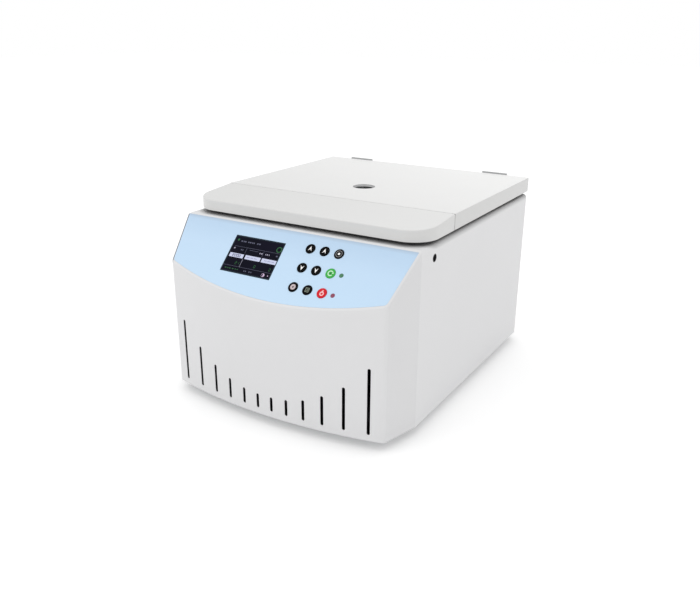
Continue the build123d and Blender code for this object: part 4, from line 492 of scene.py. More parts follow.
# painted shade: the ring's upper rim is a grey band, and the foot of its bore, just above the pane, is near
# black
ring_height = WINDOW_RING.xyz()[2]
ring_rim_shade = ring_height.above(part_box("window_ring")[1].z - RING_RIM_SHADE_DEPTH)
# painted shade in the corner where the bore meets the pane
bore_foot_shade = 1 - ring_height.above(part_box("lid_window")[1].z + BORE_SHADE_HEIGHT)
ring_tone = WINDOW_RING.tint(ring_rim_shade, WINDOW_RING.coat, (116, 117, 119))
WINDOW_RING.set("Base Color", WINDOW_RING.tint(bore_foot_shade, ring_tone, (30, 30, 32)))
print("satin finishes made")

# %% [markdown]
# ## Printed film
# The control panel is one printed polyester film with a very fine matt texture. Its pale blue is a touch
# deeper towards the upper edge, and the last few millimetres carry a painted shadow that turns them greyer
# under the lid's edge.

# %% The film
FILM_LOW, FILM_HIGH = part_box("control_film")
RIM_FADE = 6.5 * MM
FILM_RIM_SHADE = 0.55  # how far the painted shadow of the lid takes the film's upper edge towards grey
DEEPER_FROM = 0.62  # the share of the film's height above which its blue deepens


def printed_film():
    finish = Finish("film_pale_blue", IOR=1.5)
    z = finish.xyz()[2]
    height = (z - FILM_LOW.z) / (FILM_HIGH.z - FILM_LOW.z)
    tone = finish.tint(height / DEEPER_FROM, (194, 221, 244), (192, 218, 242))
    tone = finish.tint((height - DEEPER_FROM) / (1 - DEEPER_FROM), tone, (182, 208, 233))
    # painted shadow of the lid's edge over the film's last few millimetres
    rim_shadow = ((z - (HOUSING_HIGH.z - RIM_FADE)) / RIM_FADE).most(0.0)
    tone = finish.tint(rim_shadow * FILM_RIM_SHADE, tone, (150, 156, 166))
    tone = finish.tint(finish.noise(60.0) * 0.12, tone, (208, 226, 244))
    sheen = finish.noise(35.0, 3.0) * 0.12 + 0.34
    return finish.surface(tone, sheen, finish.noise(2600.0), 0.012 * MM, 0.5, finish.soft_edges(0.12 * MM))


FILM = printed_film()
print("film runs from", round(FILM_LOW.z, 4), "to", round(FILM_HIGH.z, 4))

# %% [markdown]
# ## Plastics and rubber
# Small moulded pieces share a recipe: one colour with faint mottling, a grain that suits the mould, and
# corners that catch a little light. Rubber is the same idea, rougher, with a dusty bloom, and so is the thick
# paint on the cast motor and on the guard.


# %% Moulded plastic and rubber
def moulded(name, colour, roughness, grain=1800.0, depth=0.02 * MM, mottle=0.10, edge=0.2 * MM, **constants):
    """One colour, mottled, on a grain of so many bumps in a metre. edge is the radius of its soft corners."""
    finish = Finish(name, IOR=1.48, **constants)
    corners = finish.soft_edges(edge)
    coat = finish.tint(finish.noise(140.0, 3.0) * mottle + finish.worn_edges(corners, 0.25),
                       colour, scaled(colour, 1.35, 0.006))
    sheen = finish.noise(90.0, 3.0) * 0.14 + (roughness - 0.07)
    return finish.surface(coat, sheen, finish.noise(grain), depth, 0.6, corners)


KEY_EDGE = 0.35 * MM
KEY_BLACK = moulded("key_black", (8, 8, 10), 0.36, edge=KEY_EDGE, Specular_IOR_Level=0.04)
KEY_GREEN = moulded("key_green", (62, 172, 72), 0.34, edge=KEY_EDGE, Specular_IOR_Level=0.2)
KEY_RED = moulded("key_red", (208, 24, 38), 0.34, edge=KEY_EDGE, Specular_IOR_Level=0.2)
BLACK_PLASTIC = moulded("black_plastic", (30, 30, 32), 0.46, 1200.0, 0.04 * MM)
LINER = moulded("lid_liner_dark", (62, 62, 64), 0.5, 900.0, 0.04 * MM)
HINGE = moulded("hinge_grey_coat", (156, 157, 158), 0.4, 1500.0, 0.03 * MM)
NUT = moulded("nut_black", (24, 24, 26), 0.42, 1400.0, 0.05 * MM)
RUBBER = moulded("foot_rubber", (34, 34, 35), 0.78, 2200.0, 0.06 * MM, 0.25)
SILICONE = moulded("seal_silicone", (58, 58, 60), 0.6, 1600.0, 0.03 * MM, 0.18)
CAST = moulded("motor_cast_paint", (66, 67, 70), 0.5, 420.0, 0.25 * MM, 0.3)
GUARD_PAINT = moulded("guard_grey_paint", (112, 115, 120), 0.48, 800.0, 0.06 * MM, 0.25)
FUNNEL = moulded("funnel_white", (232, 233, 230), 0.32, 1500.0, 0.015 * MM,
                 Subsurface_Weight=0.25, Subsurface_Scale=2.0 * MM)
CARD = moulded("filter_card", (238, 236, 228), 0.92, 3200.0, 0.05 * MM, 0.3)
print("plastics, rubbers and thick paints made")

# %% [markdown]
# ## Metals
# Metal shows how it was made. The bowl was spun, so its marks are rings about the upright axis; the rotor was
# turned on a lathe, with finer rings; sheet and springs were rolled, so their lines run one way. Rings come
# from a noise that only sees the distance from the axis and the height.

# %% Spun, turned and rolled metal
MARK_SHEEN = 0.16  # how far the tool marks change the roughness


def metal(name, colour, roughness, marks, depth, edge=0.25 * MM):
    """marks is a number for the fineness of turned rings, or three for the stretch of rolled lines."""
    finish = Finish(name, Metallic=1.0)
    if isinstance(marks, tuple):
        lines = finish.noise(1.0, 3.0, 0.6, finish.stretched(marks))
    else:
        x, y, z = finish.xyz()
        rings = finish.node("ShaderNodeCombineXYZ", {"X": finish.length(x, y - ROTOR_AXIS.y), "Z": z})
        lines = finish.noise(marks, 3.0, 0.6, rings)
    corners = finish.soft_edges(edge)
    stains = finish.noise(18.0, 4.0, 0.6)
    tone = finish.tint(lines * 0.6 + stains * 0.4, scaled(colour, 0.82), colour)
    tone = finish.tint(finish.worn_edges(corners, 0.3), tone, WHITE)
    sheen = lines * MARK_SHEEN + stains * 0.08 + (roughness - MARK_SHEEN / 2 - 0.04)
    return finish.surface(tone, sheen, lines, depth, 0.5, corners)


BOWL_STEEL = metal("bowl_spun_steel", (196, 198, 200), 0.32, 900.0, 0.02 * MM)
SHEET_STEEL = metal("zinc_sheet", (186, 189, 192), 0.42, (20.0, 900.0, 900.0), 0.02 * MM)
ROTOR_METAL = metal("rotor_turned", (205, 206, 208), 0.30, 1500.0, 0.015 * MM)
SHAFT_STEEL = metal("shaft_ground", (198, 199, 202), 0.24, 2500.0, 0.008 * MM)
CLIP_STEEL = metal("clip_spring_steel", (204, 205, 206), 0.28, (900.0, 900.0, 25.0), 0.01 * MM)
COIL_STEEL = metal("coil_frame", (168, 170, 172), 0.45, (30.0, 800.0, 800.0), 0.02 * MM)
ZINC = metal("screw_zinc", (196, 197, 190), 0.34, (700.0, 700.0, 700.0), 0.01 * MM, edge=0.12 * MM)
print("metals made")

# %% [markdown]
# ## Circuit boards
# A board is glass fibre under green lacquer, with copper tracks that stand a little proud. Tracks run square
# to each other, so a brick pattern's mortar lines make believable ones.


# %% Board lacquer with tracks
def circuit_board():
    finish = Finish("board_green", IOR=1.52)
    inputs = {"Vector": finish.place(), "Scale": 210.0, "Mortar Size": 0.06, "Mortar Smooth": 0.1}
    tracks = finish.node("ShaderNodeTexBrick", inputs, "Fac", offset=0.37, squash=0.6, squash_frequency=3)
    lacquer = finish.tint(tracks, finish.mottled(300.0, (18, 74, 48), (26, 92, 60)), (48, 122, 78))
    return finish.surface(lacquer, finish.noise(120.0) * 0.15 + 0.28, tracks, 0.05 * MM, 0.6)


BOARD = circuit_board()
print("board finish made")

# %% [markdown]
# ## Glass, lamps and the display's pane
# The lid's pane is smoked and the slides are clear, with hairline scratches that only the roughness and the
# normal show. A slide's upper end is frosted, so that a pencil can write on it. The two status lamps are
# domes of coloured resin in one node, so height picks the colour. The display is black glass with a grey
# border.

# %% Clear sheet, lamp domes and display glass
SLIDE_LEAN = math.radians(20.0)
FROST_LENGTH = 18.0 * MM
FROST_FROM_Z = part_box("sample_chamber_1")[1].z - FROST_LENGTH * math.cos(SLIDE_LEAN)
FROST_CLOUDS = 0.85  # how much of the light that glass lets through the frost holds back
SCREEN_BORDER = 2.0 * MM


def clear_sheet(name, colour, ior, scratch_scale, gloss=0.5):
    finish = Finish(name, IOR=ior, Transmission_Weight=1.0, Specular_IOR_Level=gloss)
    hairlines = finish.noise(1.0, 4.0, 0.7, finish.stretched(scratch_scale))
    finish.scratches = (hairlines ** 6.0) * 0.4 + 0.015
    tone = finish.tint(finish.noise(40.0), colour, WHITE)
    return finish.surface(tone, finish.scratches, hairlines, 0.004 * MM, 0.3)


def slide_glass():
    """Clear glass with a frosted upper end, where a pencil can write."""
    finish = clear_sheet("slide_glass", (0.90, 0.96, 0.94, 1.0), 1.52, (200.0, 200.0, 20.0))
    frost = finish.xyz()[2].above(FROST_FROM_Z)
    finish.set("Transmission Weight", 1 - frost * FROST_CLOUDS)
    finish.set("Roughness", finish.scratches + frost * (finish.noise(3000.0) * 0.2 + 0.5))
    return finish


def lamp_domes():
    finish = Finish("lamp_domes", IOR=1.5, Emission_Strength=0.15)
    upper = finish.xyz()[2].above(box_middle("status_leds").z)
    speckle = finish.noise(900.0)
    red = finish.mottled(900.0, (112, 40, 66), (150, 72, 96))
    green = finish.mottled(900.0, (44, 98, 66), (72, 128, 92))
    finish.set("Emission Color", finish.tint(upper, (120, 20, 50), (20, 90, 40)))
    return finish.surface(finish.tint(upper, red, green), speckle * 0.1 + 0.12, speckle, 0.01 * MM, 0.4)


def display_pane():
    """Dark glass with a grey border a few millimetres wide, found from the distance to the glass's edges."""
    finish = Finish("display_dark_glass", IOR=1.5, Specular_IOR_Level=0.04)
    x, y, z = finish.xyz()
    up = finish.up_slope(y, z)
    from_side = SCREEN_HALF_WIDTH - abs(x - SCREEN_MIDDLE.x)
    from_end = SCREEN_HALF_HEIGHT - abs(up - SCREEN_MIDDLE.dot(UP_SLOPE))
    border = 1 - from_side.least(from_end).above(SCREEN_BORDER)
    picture = finish.mottled(25.0, (8, 10, 18), (22, 20, 38))
    tone = finish.tint(border, picture, finish.mottled(500.0, (34, 44, 52), (44, 56, 64)))
    sheen = finish.noise(30.0, 4.0) * 0.10 + 0.10 + border * 0.15
    return finish.surface(tone, sheen, finish.noise(1800.0), 0.003 * MM, 0.3, finish.soft_edges(0.2 * MM))


PANE = clear_sheet("window_pane", (70, 73, 76), 1.3, (300.0, 25.0, 300.0), 0.1)
SLIDE = slide_glass()
LAMPS = lamp_domes()
DISPLAY = display_pane()
print("clear and lit finishes made")

# %% [markdown]
# ## Mains inlet
# The inlet is one black moulding with three bare contact blades in its socket. The blades are found by place:
# whatever lies inside the socket's mouth and close to a blade's centre is plated metal.

# %% Black moulding with bright blades
INLET_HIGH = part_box("power_inlet")[1]
INLET_MIDDLE = box_middle("power_inlet")
SOCKET_DROP = 14.0 * MM
BLADES = ((-7.0 * MM, 1.0 * MM), (7.0 * MM, 1.0 * MM), (0.0, -3.0 * MM))
BLADE_HALF_WIDTH = 1.4 * MM
BLADE_HALF_HEIGHT = 2.5 * MM
SOCKET_FLOOR = 16.9 * MM  # behind the flange's face


def inlet_moulding():
    finish = moulded("inlet_black", (26, 26, 28), 0.42)
    x, y, z = finish.xyz()
    blades = []
    for aside, up in BLADES:
        near_x = BLADE_HALF_WIDTH - abs(x - (INLET_MIDDLE.x + aside))
        near_z = BLADE_HALF_HEIGHT - abs(z - (INLET_MIDDLE.z - SOCKET_DROP + up))
        blades.append(near_x.least(near_z).above(0.0))
    metal_parts = blades[0].most(blades[1]).most(blades[2]) * y.above(INLET_HIGH.y - SOCKET_FLOOR)
    finish.set("Base Color", finish.tint(metal_parts, finish.coat, (212, 206, 186)))
    finish.set("Metallic", metal_parts)
    return finish


INLET = inlet_moulding()
print("inlet middle:", [round(part, 4) for part in INLET_MIDDLE])

# %% [markdown]
# ## Dressing the solids
# Each solid that already has the right shape keeps it and only changes its coat. A table says which finish
# goes on which node.

# %% Finish for each node that keeps its shape
PLAIN_KEYS = [name for name in nodes
              if name.startswith("key_") and name not in ("key_start", "key_stop", "key_board")]
DRESS = {
    CABINET: ["main_housing"], LID_SHEET: ["lid_rear_cover"], LID_CAP: ["lid_front_cap"],
    LINER: ["lid_liner"], WINDOW_RING: ["window_ring"], PANE: ["lid_window"],
    HINGE: ["hinge_lid_leaves", "hinge_body_leaves"], SILICONE: ["chamber_seal"],
    FILM: ["control_film"], DISPLAY: ["display_glass"], LAMPS: ["status_leds"],
    KEY_GREEN: ["key_start"], KEY_RED: ["key_stop"], KEY_BLACK: PLAIN_KEYS,
    BOARD: ["display_module", "key_board", "driver_board"], INLET: ["power_inlet"],
    BLACK_PLASTIC: ["release_bush", "lid_switch", "fan_frame", "fan_impeller", "power_rocker"],
    SHEET_STEEL: ["base_plate", "motor_bridge", "latch_frame"], BOWL_STEEL: ["chamber_bowl"],
    GUARD_PAINT: ["guard_ring"], CAST: ["motor_can"], RUBBER: ["rubber_feet", "motor_dampers"],
    SHAFT_STEEL: ["drive_shaft", "hinge_pins", "lid_hook", "latch_bolt", "release_spindle"],
    ROTOR_METAL: ["rotor_body"], NUT: ["rotor_nut"], COIL_STEEL: ["latch_solenoid"],
    ZINC: ["cabinet_screws", "lid_screws"], CLIP_STEEL: [f"slide_clip_{index}" for index in range(1, 7)],
}
for finish, names in DRESS.items():
    for name in names:
        for holder in nodes[name].material_slots:
            holder.material = finish.material
print("dressed", sum(len(names) for names in DRESS.values()), "nodes")

# %% [markdown]
# ## Making a piece
# A piece that this script adds is an ordinary mesh whose object stays at the origin; its place is in its
# points. It rides on the body that carries it, so that it moves when that body does.


# %% From a mesh to a riding piece
def piece(name, data, finish, body, smooth_angle=None):
    """A riding piece from a mesh. smooth_angle, where given, smooths what bends less than that."""
    if smooth_angle is not None:
        data.shade_smooth()
        data.set_sharp_from_angle(angle=math.radians(smooth_angle))
    made = linked(name, data)
    data.materials.append(finish.material)
    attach(made, body)
    return made


def ring_points(radius, count=32, start=0.0, sweep=2 * math.pi):
    """Points on a circle or, with a sweep under a full turn, on an arc that includes both its ends."""
    steps = count if sweep >= 2 * math.pi else count - 1
    angles = [start + sweep * i / steps for i in range(count)]
    return [Vector((radius * math.cos(angle), radius * math.sin(angle))) for angle in angles]


print("piece helpers ready")

# %% [markdown]
# ## Printed marks
# Marks on keys and on the screen are thin inlays: a flat outline, cut into small triangles so that it can
# follow a dished surface, stands a few hundredths of a millimetre proud of it. An outline is a list of points
# in the plane of what it lies on; a ring or an arc is a band between two rows of points.

# %% Inlays that follow a surface
INLAY_PROUD = INLAY_SUNK = 0.03 * MM
INLAY_GRID = 1.2 * MM  # longest side of a triangle on a dished key


def inlay(shape, outline, middle, lift, grid):
    """Add one flat outline to a bmesh as a thin solid on the sloping panel. The outline's points are measured
    from middle, and lift gives the surface's height at each of them."""
    flat = bmesh.new()
    corners = [flat.verts.new((point.x, point.y, 0)) for point in outline]
    flat.faces.new(corners)
    bmesh.ops.triangulate(flat, faces=flat.faces)
    for _ in range(4):
        long_edges = [edge for edge in flat.edges if edge.calc_length() > grid]
        if not long_edges:
            break
        bmesh.ops.subdivide_edges(flat, edges=long_edges, cuts=1)
        bmesh.ops.triangulate(flat, faces=flat.faces)
    solid = bmesh.ops.extrude_face_region(flat, geom=flat.faces[:])
    upper = {vertex for vertex in solid["geom"] if isinstance(vertex, bmesh.types.BMVert)}
    index = {}
    for vertex in flat.verts:
        out = lift(vertex.co) + (INLAY_PROUD if vertex in upper else -INLAY_SUNK)
        index[vertex] = shape.verts.new(middle + ACROSS * vertex.co.x + UP_SLOPE * vertex.co.y + OUT * out)
    for face in flat.faces:
        shape.faces.new([index[vertex] for vertex in face.verts])
    flat.free()


def band(inner, outer, start=0.0, sweep=2 * math.pi, count=40):
    """Quarter outlines that together make a ring or an arc between two radii."""
    outlines = []
    for quarter in range(4):
        arc = count // 4 + 1, start + sweep * quarter / 4, sweep / 4
        outlines.append(ring_points(outer, *arc) + ring_points(inner, *arc)[::-1])
    return outlines


print("inlays stand", round(INLAY_PROUD / MM, 3), "mm proud")

# %% [markdown]
# ## Marks on the keys
# Each key carries one simple sign: arrowheads for more and less, a ring with a dot, an open swirl. The signs
# are drawn in millimetres about the key's middle and laid on the dish of its top.

# %% Signs for the keys
KEY_RIM_R = outer_face("key_menu")[1]
KEY_DISH = 0.5 * MM


def dish(spot):
    """Height of the dished top of a key over its rim."""
    return KEY_DISH * ((spot.x ** 2 + spot.y ** 2) / KEY_RIM_R ** 2 - 1)


def outline_of(*points):
    return [Vector((across * MM, up * MM)) for across, up in points]


def bar(across, up, width, height):
    """A rectangle from its middle and sizes in millimetres."""
    half_w, half_h = width / 2, height / 2
    return outline_of((across - half_w, up - half_h), (across + half_w, up - half_h),
                      (across + half_w, up + half_h), (across - half_w, up + half_h))


def disc(across, up, radius, count=28):
    return [point + Vector((across, up)) * MM for point in ring_points(radius * MM, count)]


def ring(across, up, inner, outer, start=0.0, sweep=360.0):
    middle = Vector((across, up)) * MM
    parts = band(inner * MM, outer * MM, math.radians(start), math.radians(sweep))
    return [[point + middle for point in part] for part in parts]


ARROW = ((0.0, 4.4), (3.2, -3.8), (0.0, -0.6), (-3.2, -3.8))
ARROW_UP = [outline_of(*ARROW)]
ARROW_DOWN = [outline_of(*[(across, -up) for across, up in reversed(ARROW)])]
SWIRL = ring(0, 0, 2.9, 4.6, 40.0, 285.0) + [outline_of((2.2, -0.2), (5.6, 0.3), (3.6, 2.9))]
HOOK = ring(0.2, -0.9, 1.9, 3.5) + [outline_of((-3.3, -0.9), (-1.7, -0.9), (1.9, 4.4), (0.1, 4.7))]
PAGE = [bar(0, 3.1, 6.4, 0.9), bar(0, -3.1, 6.4, 0.9), bar(-2.8, 0, 0.9, 5.3), bar(2.8, 0, 0.9, 5.3),
        bar(0.3, 1.2, 3.2, 0.8), bar(0.3, -0.9, 3.2, 0.8)]

INK_TONES = {"white": (252, 250, 248), "grey": (150, 148, 150), "rose_grey": (190, 174, 176),
             "olive": (134, 142, 126), "leaf": (196, 236, 198), "rose": (248, 200, 200), "pine": (24, 92, 44)}
INKS = {name: moulded(f"ink_{name}", tone, 0.5, 2600.0, 0.006 * MM, 0.2, 0.02 * MM)
        for name, tone in INK_TONES.items()}
KEY_SIGNS = {
    "speed_up": [("white", ARROW_UP)],
    "time_up": [("white", ARROW_UP)],
    "speed_down": [("white", ARROW_DOWN)],
    "time_down": [("white", ARROW_DOWN)],
    "open_lid": [("grey", ring(0, 0, 4.7, 5.4)), ("white", [disc(0, 0, 1.9)])],
    "menu": [("rose_grey", ring(0, 0, 1.3, 4.5))],
    "program": [("olive", PAGE)],
    "start": [("leaf", SWIRL), ("pine", [disc(0, 0, 1.4)])],
    "stop": [("rose", HOOK)],
}
print("inks:", list(INKS))


# %% Lay the signs on the keys
def marks(name, outlines, middle, lift, finish, body, slot, grid=INLAY_GRID):
    """One riding piece from outlines about the middle of a surface with a height function."""
    shape = bmesh.new()
    for outline in outlines:
        inlay(shape, outline, middle, lift, grid)
    bmesh.ops.recalc_face_normals(shape, faces=shape.faces)
    return piece(name, mesh_of(shape, name), finish, body)


for key, layers in KEY_SIGNS.items():
    key_middle = outer_face(f"key_{key}")[0]
    for number, (ink, outlines) in enumerate(layers, 1):
        marks(f"sign_{key}_{number}", outlines, key_middle, dish, INKS[ink], f"key_{key}", "film")
print("signs on", len(KEY_SIGNS), "keys")

# %% [markdown]
# ## What the screen shows
# The screen is on. A status line with small signs runs along the top, three pale cells in a row take up the
# middle, figures in green stand under them, and another line of small signs ends it. All figures are plain
# numbers. Lit parts glow by themselves, and a liquid crystal panel's grid of dots breaks up the glow.

# %% Lit ink
PIXEL = 0.28 * MM


def lit(name, colour):
    finish = Finish(name, IOR=1.5, Specular_IOR_Level=0.1, Emission_Strength=1.0)
    x, y, z = finish.xyz()
    columns, rows = ((run * (2 * math.pi / PIXEL)).sine() * 0.5 + 0.5 for run in (x, finish.up_slope(y, z)))
    cloud = finish.noise(120.0)
    glow = finish.tint(columns * rows * 0.5 + cloud * 0.2 + 0.2, scaled(colour, 0.7), colour)
    finish.set("Emission Color", glow)
    finish.set("Base Color", finish.mottled(120.0, (20, 20, 30), (30, 30, 42)))
    finish.set("Roughness", cloud * 0.1 + 0.2)
    return finish


LIT_TONES = {"lilac": (222, 228, 255), "green": (46, 106, 54), "grey": (104, 106, 126),
             "pale": (184, 182, 200), "pink": (226, 200, 232), "ink": (72, 74, 104), "faint": (168, 170, 204)}
LIT = {name: lit(f"lit_{name}", tone) for name, tone in LIT_TONES.items()}
print("lit inks:", list(LIT))

# %% Figures and signs on the screen
# the seven bars of a figure, in half widths and half heights from its middle, and which ones a figure lights
SEVEN_BARS = ((0, 1), (-1, 0.5), (1, 0.5), (0, 0), (-1, -0.5), (1, -0.5), (0, -1))
FIGURE_BARS = {0: "1110111", 1: "0010010", 2: "1011101"}


def figure(number, across, up, width=2.6, height=5.0, stroke=0.6):
    """A seven-bar figure from its middle and sizes in millimetres. Bars to a side stand, the others lie."""
    tall = height / 2 - stroke / 4
    return [bar(across + aside * width / 2, up + rise * height / 2, stroke if aside else width,
                tall if aside else stroke)
            for (aside, rise), lit_up in zip(SEVEN_BARS, FIGURE_BARS[number]) if lit_up == "1"]


def figures(numbers, across, up, pitch=4.2, **sizes):
    found = []
    for place, number in enumerate(numbers):
        found += figure(number, across + (place - (len(numbers) - 1) / 2) * pitch, up, **sizes)
    return found


def dashes(places, up, height=2.6):
    """Small upright marks and blocks in a row: (middle, width) pairs."""
    return [bar(across, up, width, height) for across, width in places]


CELLS = [bar(-30.0, -2.9, 26.8, 7.0), bar(1.5, -2.9, 29.2, 7.0), bar(32.2, -2.9, 27.2, 7.0)]
STATUS_WORDS = [(-32, 3), (-28, 2), (-25, 2.6), (-19, 2.2), (-15.5, 3), (-11.5, 2), (-8.5, 2),
                (-1.5, 2.4), (2.5, 3)]
SCREEN = {
    "cells": ("lilac", CELLS),
    "green": ("green", [disc(-39.4, 24.2, 2.0)] + ring(41.0, 19.4, 3.4, 5.0)
              + figures((2, 1), -22.4, -15.3, height=4.4) + figures((0,), 11.6, -15.8, height=4.4)
              + figures((2,), 40.6, -16.0, height=4.4)
              + dashes([(-39, 3), (-34.5, 2), (-30.5, 2.6), (-25, 3), (-20, 2), (-16, 2)], -26.0, 1.6)),
    "lines": ("grey", [bar(2, 13.0, 86, 0.4), bar(-16.8, 7.6, 0.4, 10), bar(16.3, 7.2, 0.4, 10),
                       bar(-2, 9.6, 17, 0.5), bar(0, -21.2, 90, 0.4)] + dashes(STATUS_WORDS, 22.6, 2.2)
              + dashes([(-26, 1.6), (-23, 1.4), (42, 3)], 8, 2.2)
              + dashes([(-3, 1.4), (0, 1.6), (7, 2), (10.5, 1.4)], -26.1, 2.2)),
    "bright": ("pale", [disc(-39.8, 9.2, 1.3), bar(-15.0, -10.4, 0.6, 6.0), bar(-15.0, -17.6, 0.5, 8.0)]
               + dashes([(10.5, 1.6), (14, 2.4), (21.5, 1.2), (24.5, 2.0), (28, 1.2)], 7.6, 2.2)),
    "moon": ("pink", ring(33.0, -26.4, 0.0, 3.0, -90.0, 180.0) + ring(33.0, -26.4, 2.5, 3.0, 90.0, 180.0)
             + [disc(42.0, -26.2, 0.9)]),
}
CELL_PRINT = {
    "dark": ("ink", figures((2, 0, 0, 0), -30.0, -2.9, height=3.8, stroke=0.8)),
    "faint": ("faint", dashes([(-7, 6), (0, 5), (7, 6), (26, 5), (33, 6), (40, 5)], -2.9, 1.2)),
}
SCREEN_GRID = 12.0 * MM


def level(spot):
    """The screen is level, so no point of it stands higher than another."""
    return 0.0


for kind, table, middle in (("screen", SCREEN, SCREEN_MIDDLE),
                            ("cell", CELL_PRINT, SCREEN_MIDDLE + OUT * INLAY_PROUD)):
    for name, (ink, outlines) in table.items():
        marks(f"{kind}_{name}", outlines, middle, level, LIT[ink], "cabinet", "display", SCREEN_GRID)
print("screen parts:", list(SCREEN))

# %% [markdown]
# ## Screws
# Every screw is the same pan head with a cross recess; only the shank's length differs. One screw of each
# length is made as a mesh: the head and the threaded shank are one turned profile, and a cross of two tapered
# blades is cut out of it. Geometry Nodes then set it on a cloud of points, each pointing its own way and with
# its recess at its own angle. The points are read off the solids: each loose part is one screw.


# %% The loose parts of a solid
def merged_copy(node):
    """A bmesh copy of a node in which touching corners are one, so that each solid hangs together."""
    shape = bmesh.new()
    shape.from_mesh(nodes[node].data)
    bmesh.ops.remove_doubles(shape, verts=shape.verts, dist=0.001 * MM)
    shape.verts.ensure_lookup_table()
    return shape


def loose_parts(shape):
    """A list of the faces of each solid. A dict keeps the faces in order, so that every run finds the same
    order of solids."""
    left, parts = dict.fromkeys(shape.faces), []
    while left:
        part = [left.popitem()[0]]
        for face in part:  # the list grows while it is walked
            for edge in face.edges:
                for other in edge.link_faces:
                    if other in left:
                        del left[other]
                        part.append(other)
        parts.append(part)
    return parts


SCREW_HEAD_R = 3.8 * MM
SCREW_HEAD_HEIGHT = 2.2 * MM
SCREW_R = 2.0 * MM
WIDER_THAN_SHANK = 2.2 * SCREW_R  # an end face wider than this is the head's


def screws_of(node):
    """Where each screw's head meets its shank, the direction its head faces, and its shank's length."""
    shape = merged_copy(node)
    found = []
    for part in loose_parts(shape):
        corners = [vertex.co for face in part for vertex in face.verts]
        low, high = (Vector(list(map(pick, zip(*corners)))) for pick in (min, max))
        size = high - low
        along = max(range(3), key=lambda axis: abs(size[axis] - 2 * SCREW_HEAD_R))
        aside = (along + 1) % 3
        top = [corner for corner in corners if corner[along] > high[along] - SAME]
        width = max(corner[aside] for corner in top) - min(corner[aside] for corner in top)
        wide_top = width > WIDER_THAN_SHANK
        out = Vector((0, 0, 0))
        out[along] = 1.0 if wide_top else -1.0
        seat = (low + high) / 2
        seat[along] = high[along] - SCREW_HEAD_HEIGHT if wide_top else low[along] + SCREW_HEAD_HEIGHT
        found.append((seat, out, round((size[along] - SCREW_HEAD_HEIGHT) / MM, 1)))
    shape.free()
    return found


for node in ("cabinet_screws", "lid_screws"):
    print(node, len(screws_of(node)), "screws, shanks", sorted({length for _, _, length in screws_of(node)}))

# %% One screw
TURNS = 40
THREAD_PITCH = 0.8 * MM
THREAD_DEPTH = 0.22 * MM
HEAD_CHAMFER = 0.15 * MM
HEAD_SHOULDER = 0.45 * SCREW_HEAD_HEIGHT  # where the rim ends and the dome starts
DOME_FULLNESS = 0.6  # under 1, the dome is fuller than a quarter of an ellipse
# height, span and thickness of the recess's blades at their foot and above the head
RECESS_FOOT = (SCREW_HEAD_HEIGHT - 1.3 * MM, 2.2 * MM, 0.6 * MM)
RECESS_MOUTH = (SCREW_HEAD_HEIGHT + 0.5 * MM, 4.84 * MM, 0.75 * MM)
SCREW_SMOOTH = 35  # degrees


def turned_mesh(profile, name):
    """A closed mesh from (radius, height) points turned about Z; both ends lie on the axis."""
    shape = bmesh.new()
    rows = []
    for radius, height in profile:
        if radius == 0.0:
            rows.append([shape.verts.new((0, 0, height))])
        else:
            rows.append([shape.verts.new((point.x, point.y, height)) for point in ring_points(radius, TURNS)])
    for lower, upper in zip(rows, rows[1:]):
        for i, j in zip(range(TURNS), [*range(1, TURNS), 0]):
            around = [row[k % len(row)] for row, k in ((lower, i), (lower, j), (upper, j), (upper, i))]
            shape.faces.new(list(dict.fromkeys(around)))  # an end on the axis is one corner, not two
    bmesh.ops.recalc_face_normals(shape, faces=shape.faces)
    return mesh_of(shape, name)


def screw_profile(length):
    """From the tip of the shank up its thread, under the head, round its rim and over its dome."""
    points = [(0.0, -length), (SCREW_R - 2 * THREAD_DEPTH, -length)]
    height = -length + THREAD_PITCH / 2
    while height < -THREAD_PITCH:
        points += [(SCREW_R - THREAD_DEPTH, height), (SCREW_R, height + THREAD_PITCH / 4),
                   (SCREW_R - THREAD_DEPTH, height + THREAD_PITCH / 2)]
        height += THREAD_PITCH
    points += [(SCREW_R - THREAD_DEPTH, 0.0), (SCREW_HEAD_R - HEAD_CHAMFER, 0.0),
               (SCREW_HEAD_R, HEAD_CHAMFER)]
    for share in (0.0, 0.2, 0.4, 0.6, 0.8, 0.92):
        angle = share * math.pi / 2
        points.append((SCREW_HEAD_R * math.cos(angle) ** DOME_FULLNESS,
                       HEAD_SHOULDER + (SCREW_HEAD_HEIGHT - HEAD_SHOULDER) * math.sin(angle)))
    return points + [(0.0, SCREW_HEAD_HEIGHT)]


def recess_cross():
    """Two tapered blades that meet on the axis."""
    shape = bmesh.new()
    for quarter in (0, 1):
        turn = Matrix.Rotation(quarter * math.pi / 2, 3, "Z")
        for corner in bmesh.ops.create_cube(shape, size=1.0)["verts"]:
            height, span, blade = RECESS_MOUTH if corner.co.z > 0 else RECESS_FOOT
            corner.co = turn @ Vector((corner.co.x * span, corner.co.y * blade, height))
    return mesh_of(shape, "recess_cross")


def evaluated_mesh(holder, name):
    """The mesh that an object's modifiers give, as a plain mesh."""
    bpy.context.view_layer.update()
    depsgraph = bpy.context.evaluated_depsgraph_get()
    made = bpy.data.meshes.new_from_object(holder.evaluated_get(depsgraph), depsgraph=depsgraph)
    made.name = name
    return made


def cut_screw(length_mm):
    blank = linked("screw_blank", turned_mesh(screw_profile(length_mm * MM), "screw_blank"))
    cross = linked("recess_cross", recess_cross())
    cut = blank.modifiers.new("recess", "BOOLEAN")
    cut.operation = "DIFFERENCE"
    cut.solver = "EXACT"
    cut.use_self = True
    cut.object = cross
    made = evaluated_mesh(blank, f"screw_{length_mm}")
    for holder in (blank, cross):
        bpy.data.objects.remove(holder)
    made.shade_smooth()
    made.set_sharp_from_angle(angle=math.radians(SCREW_SMOOTH))
    return made


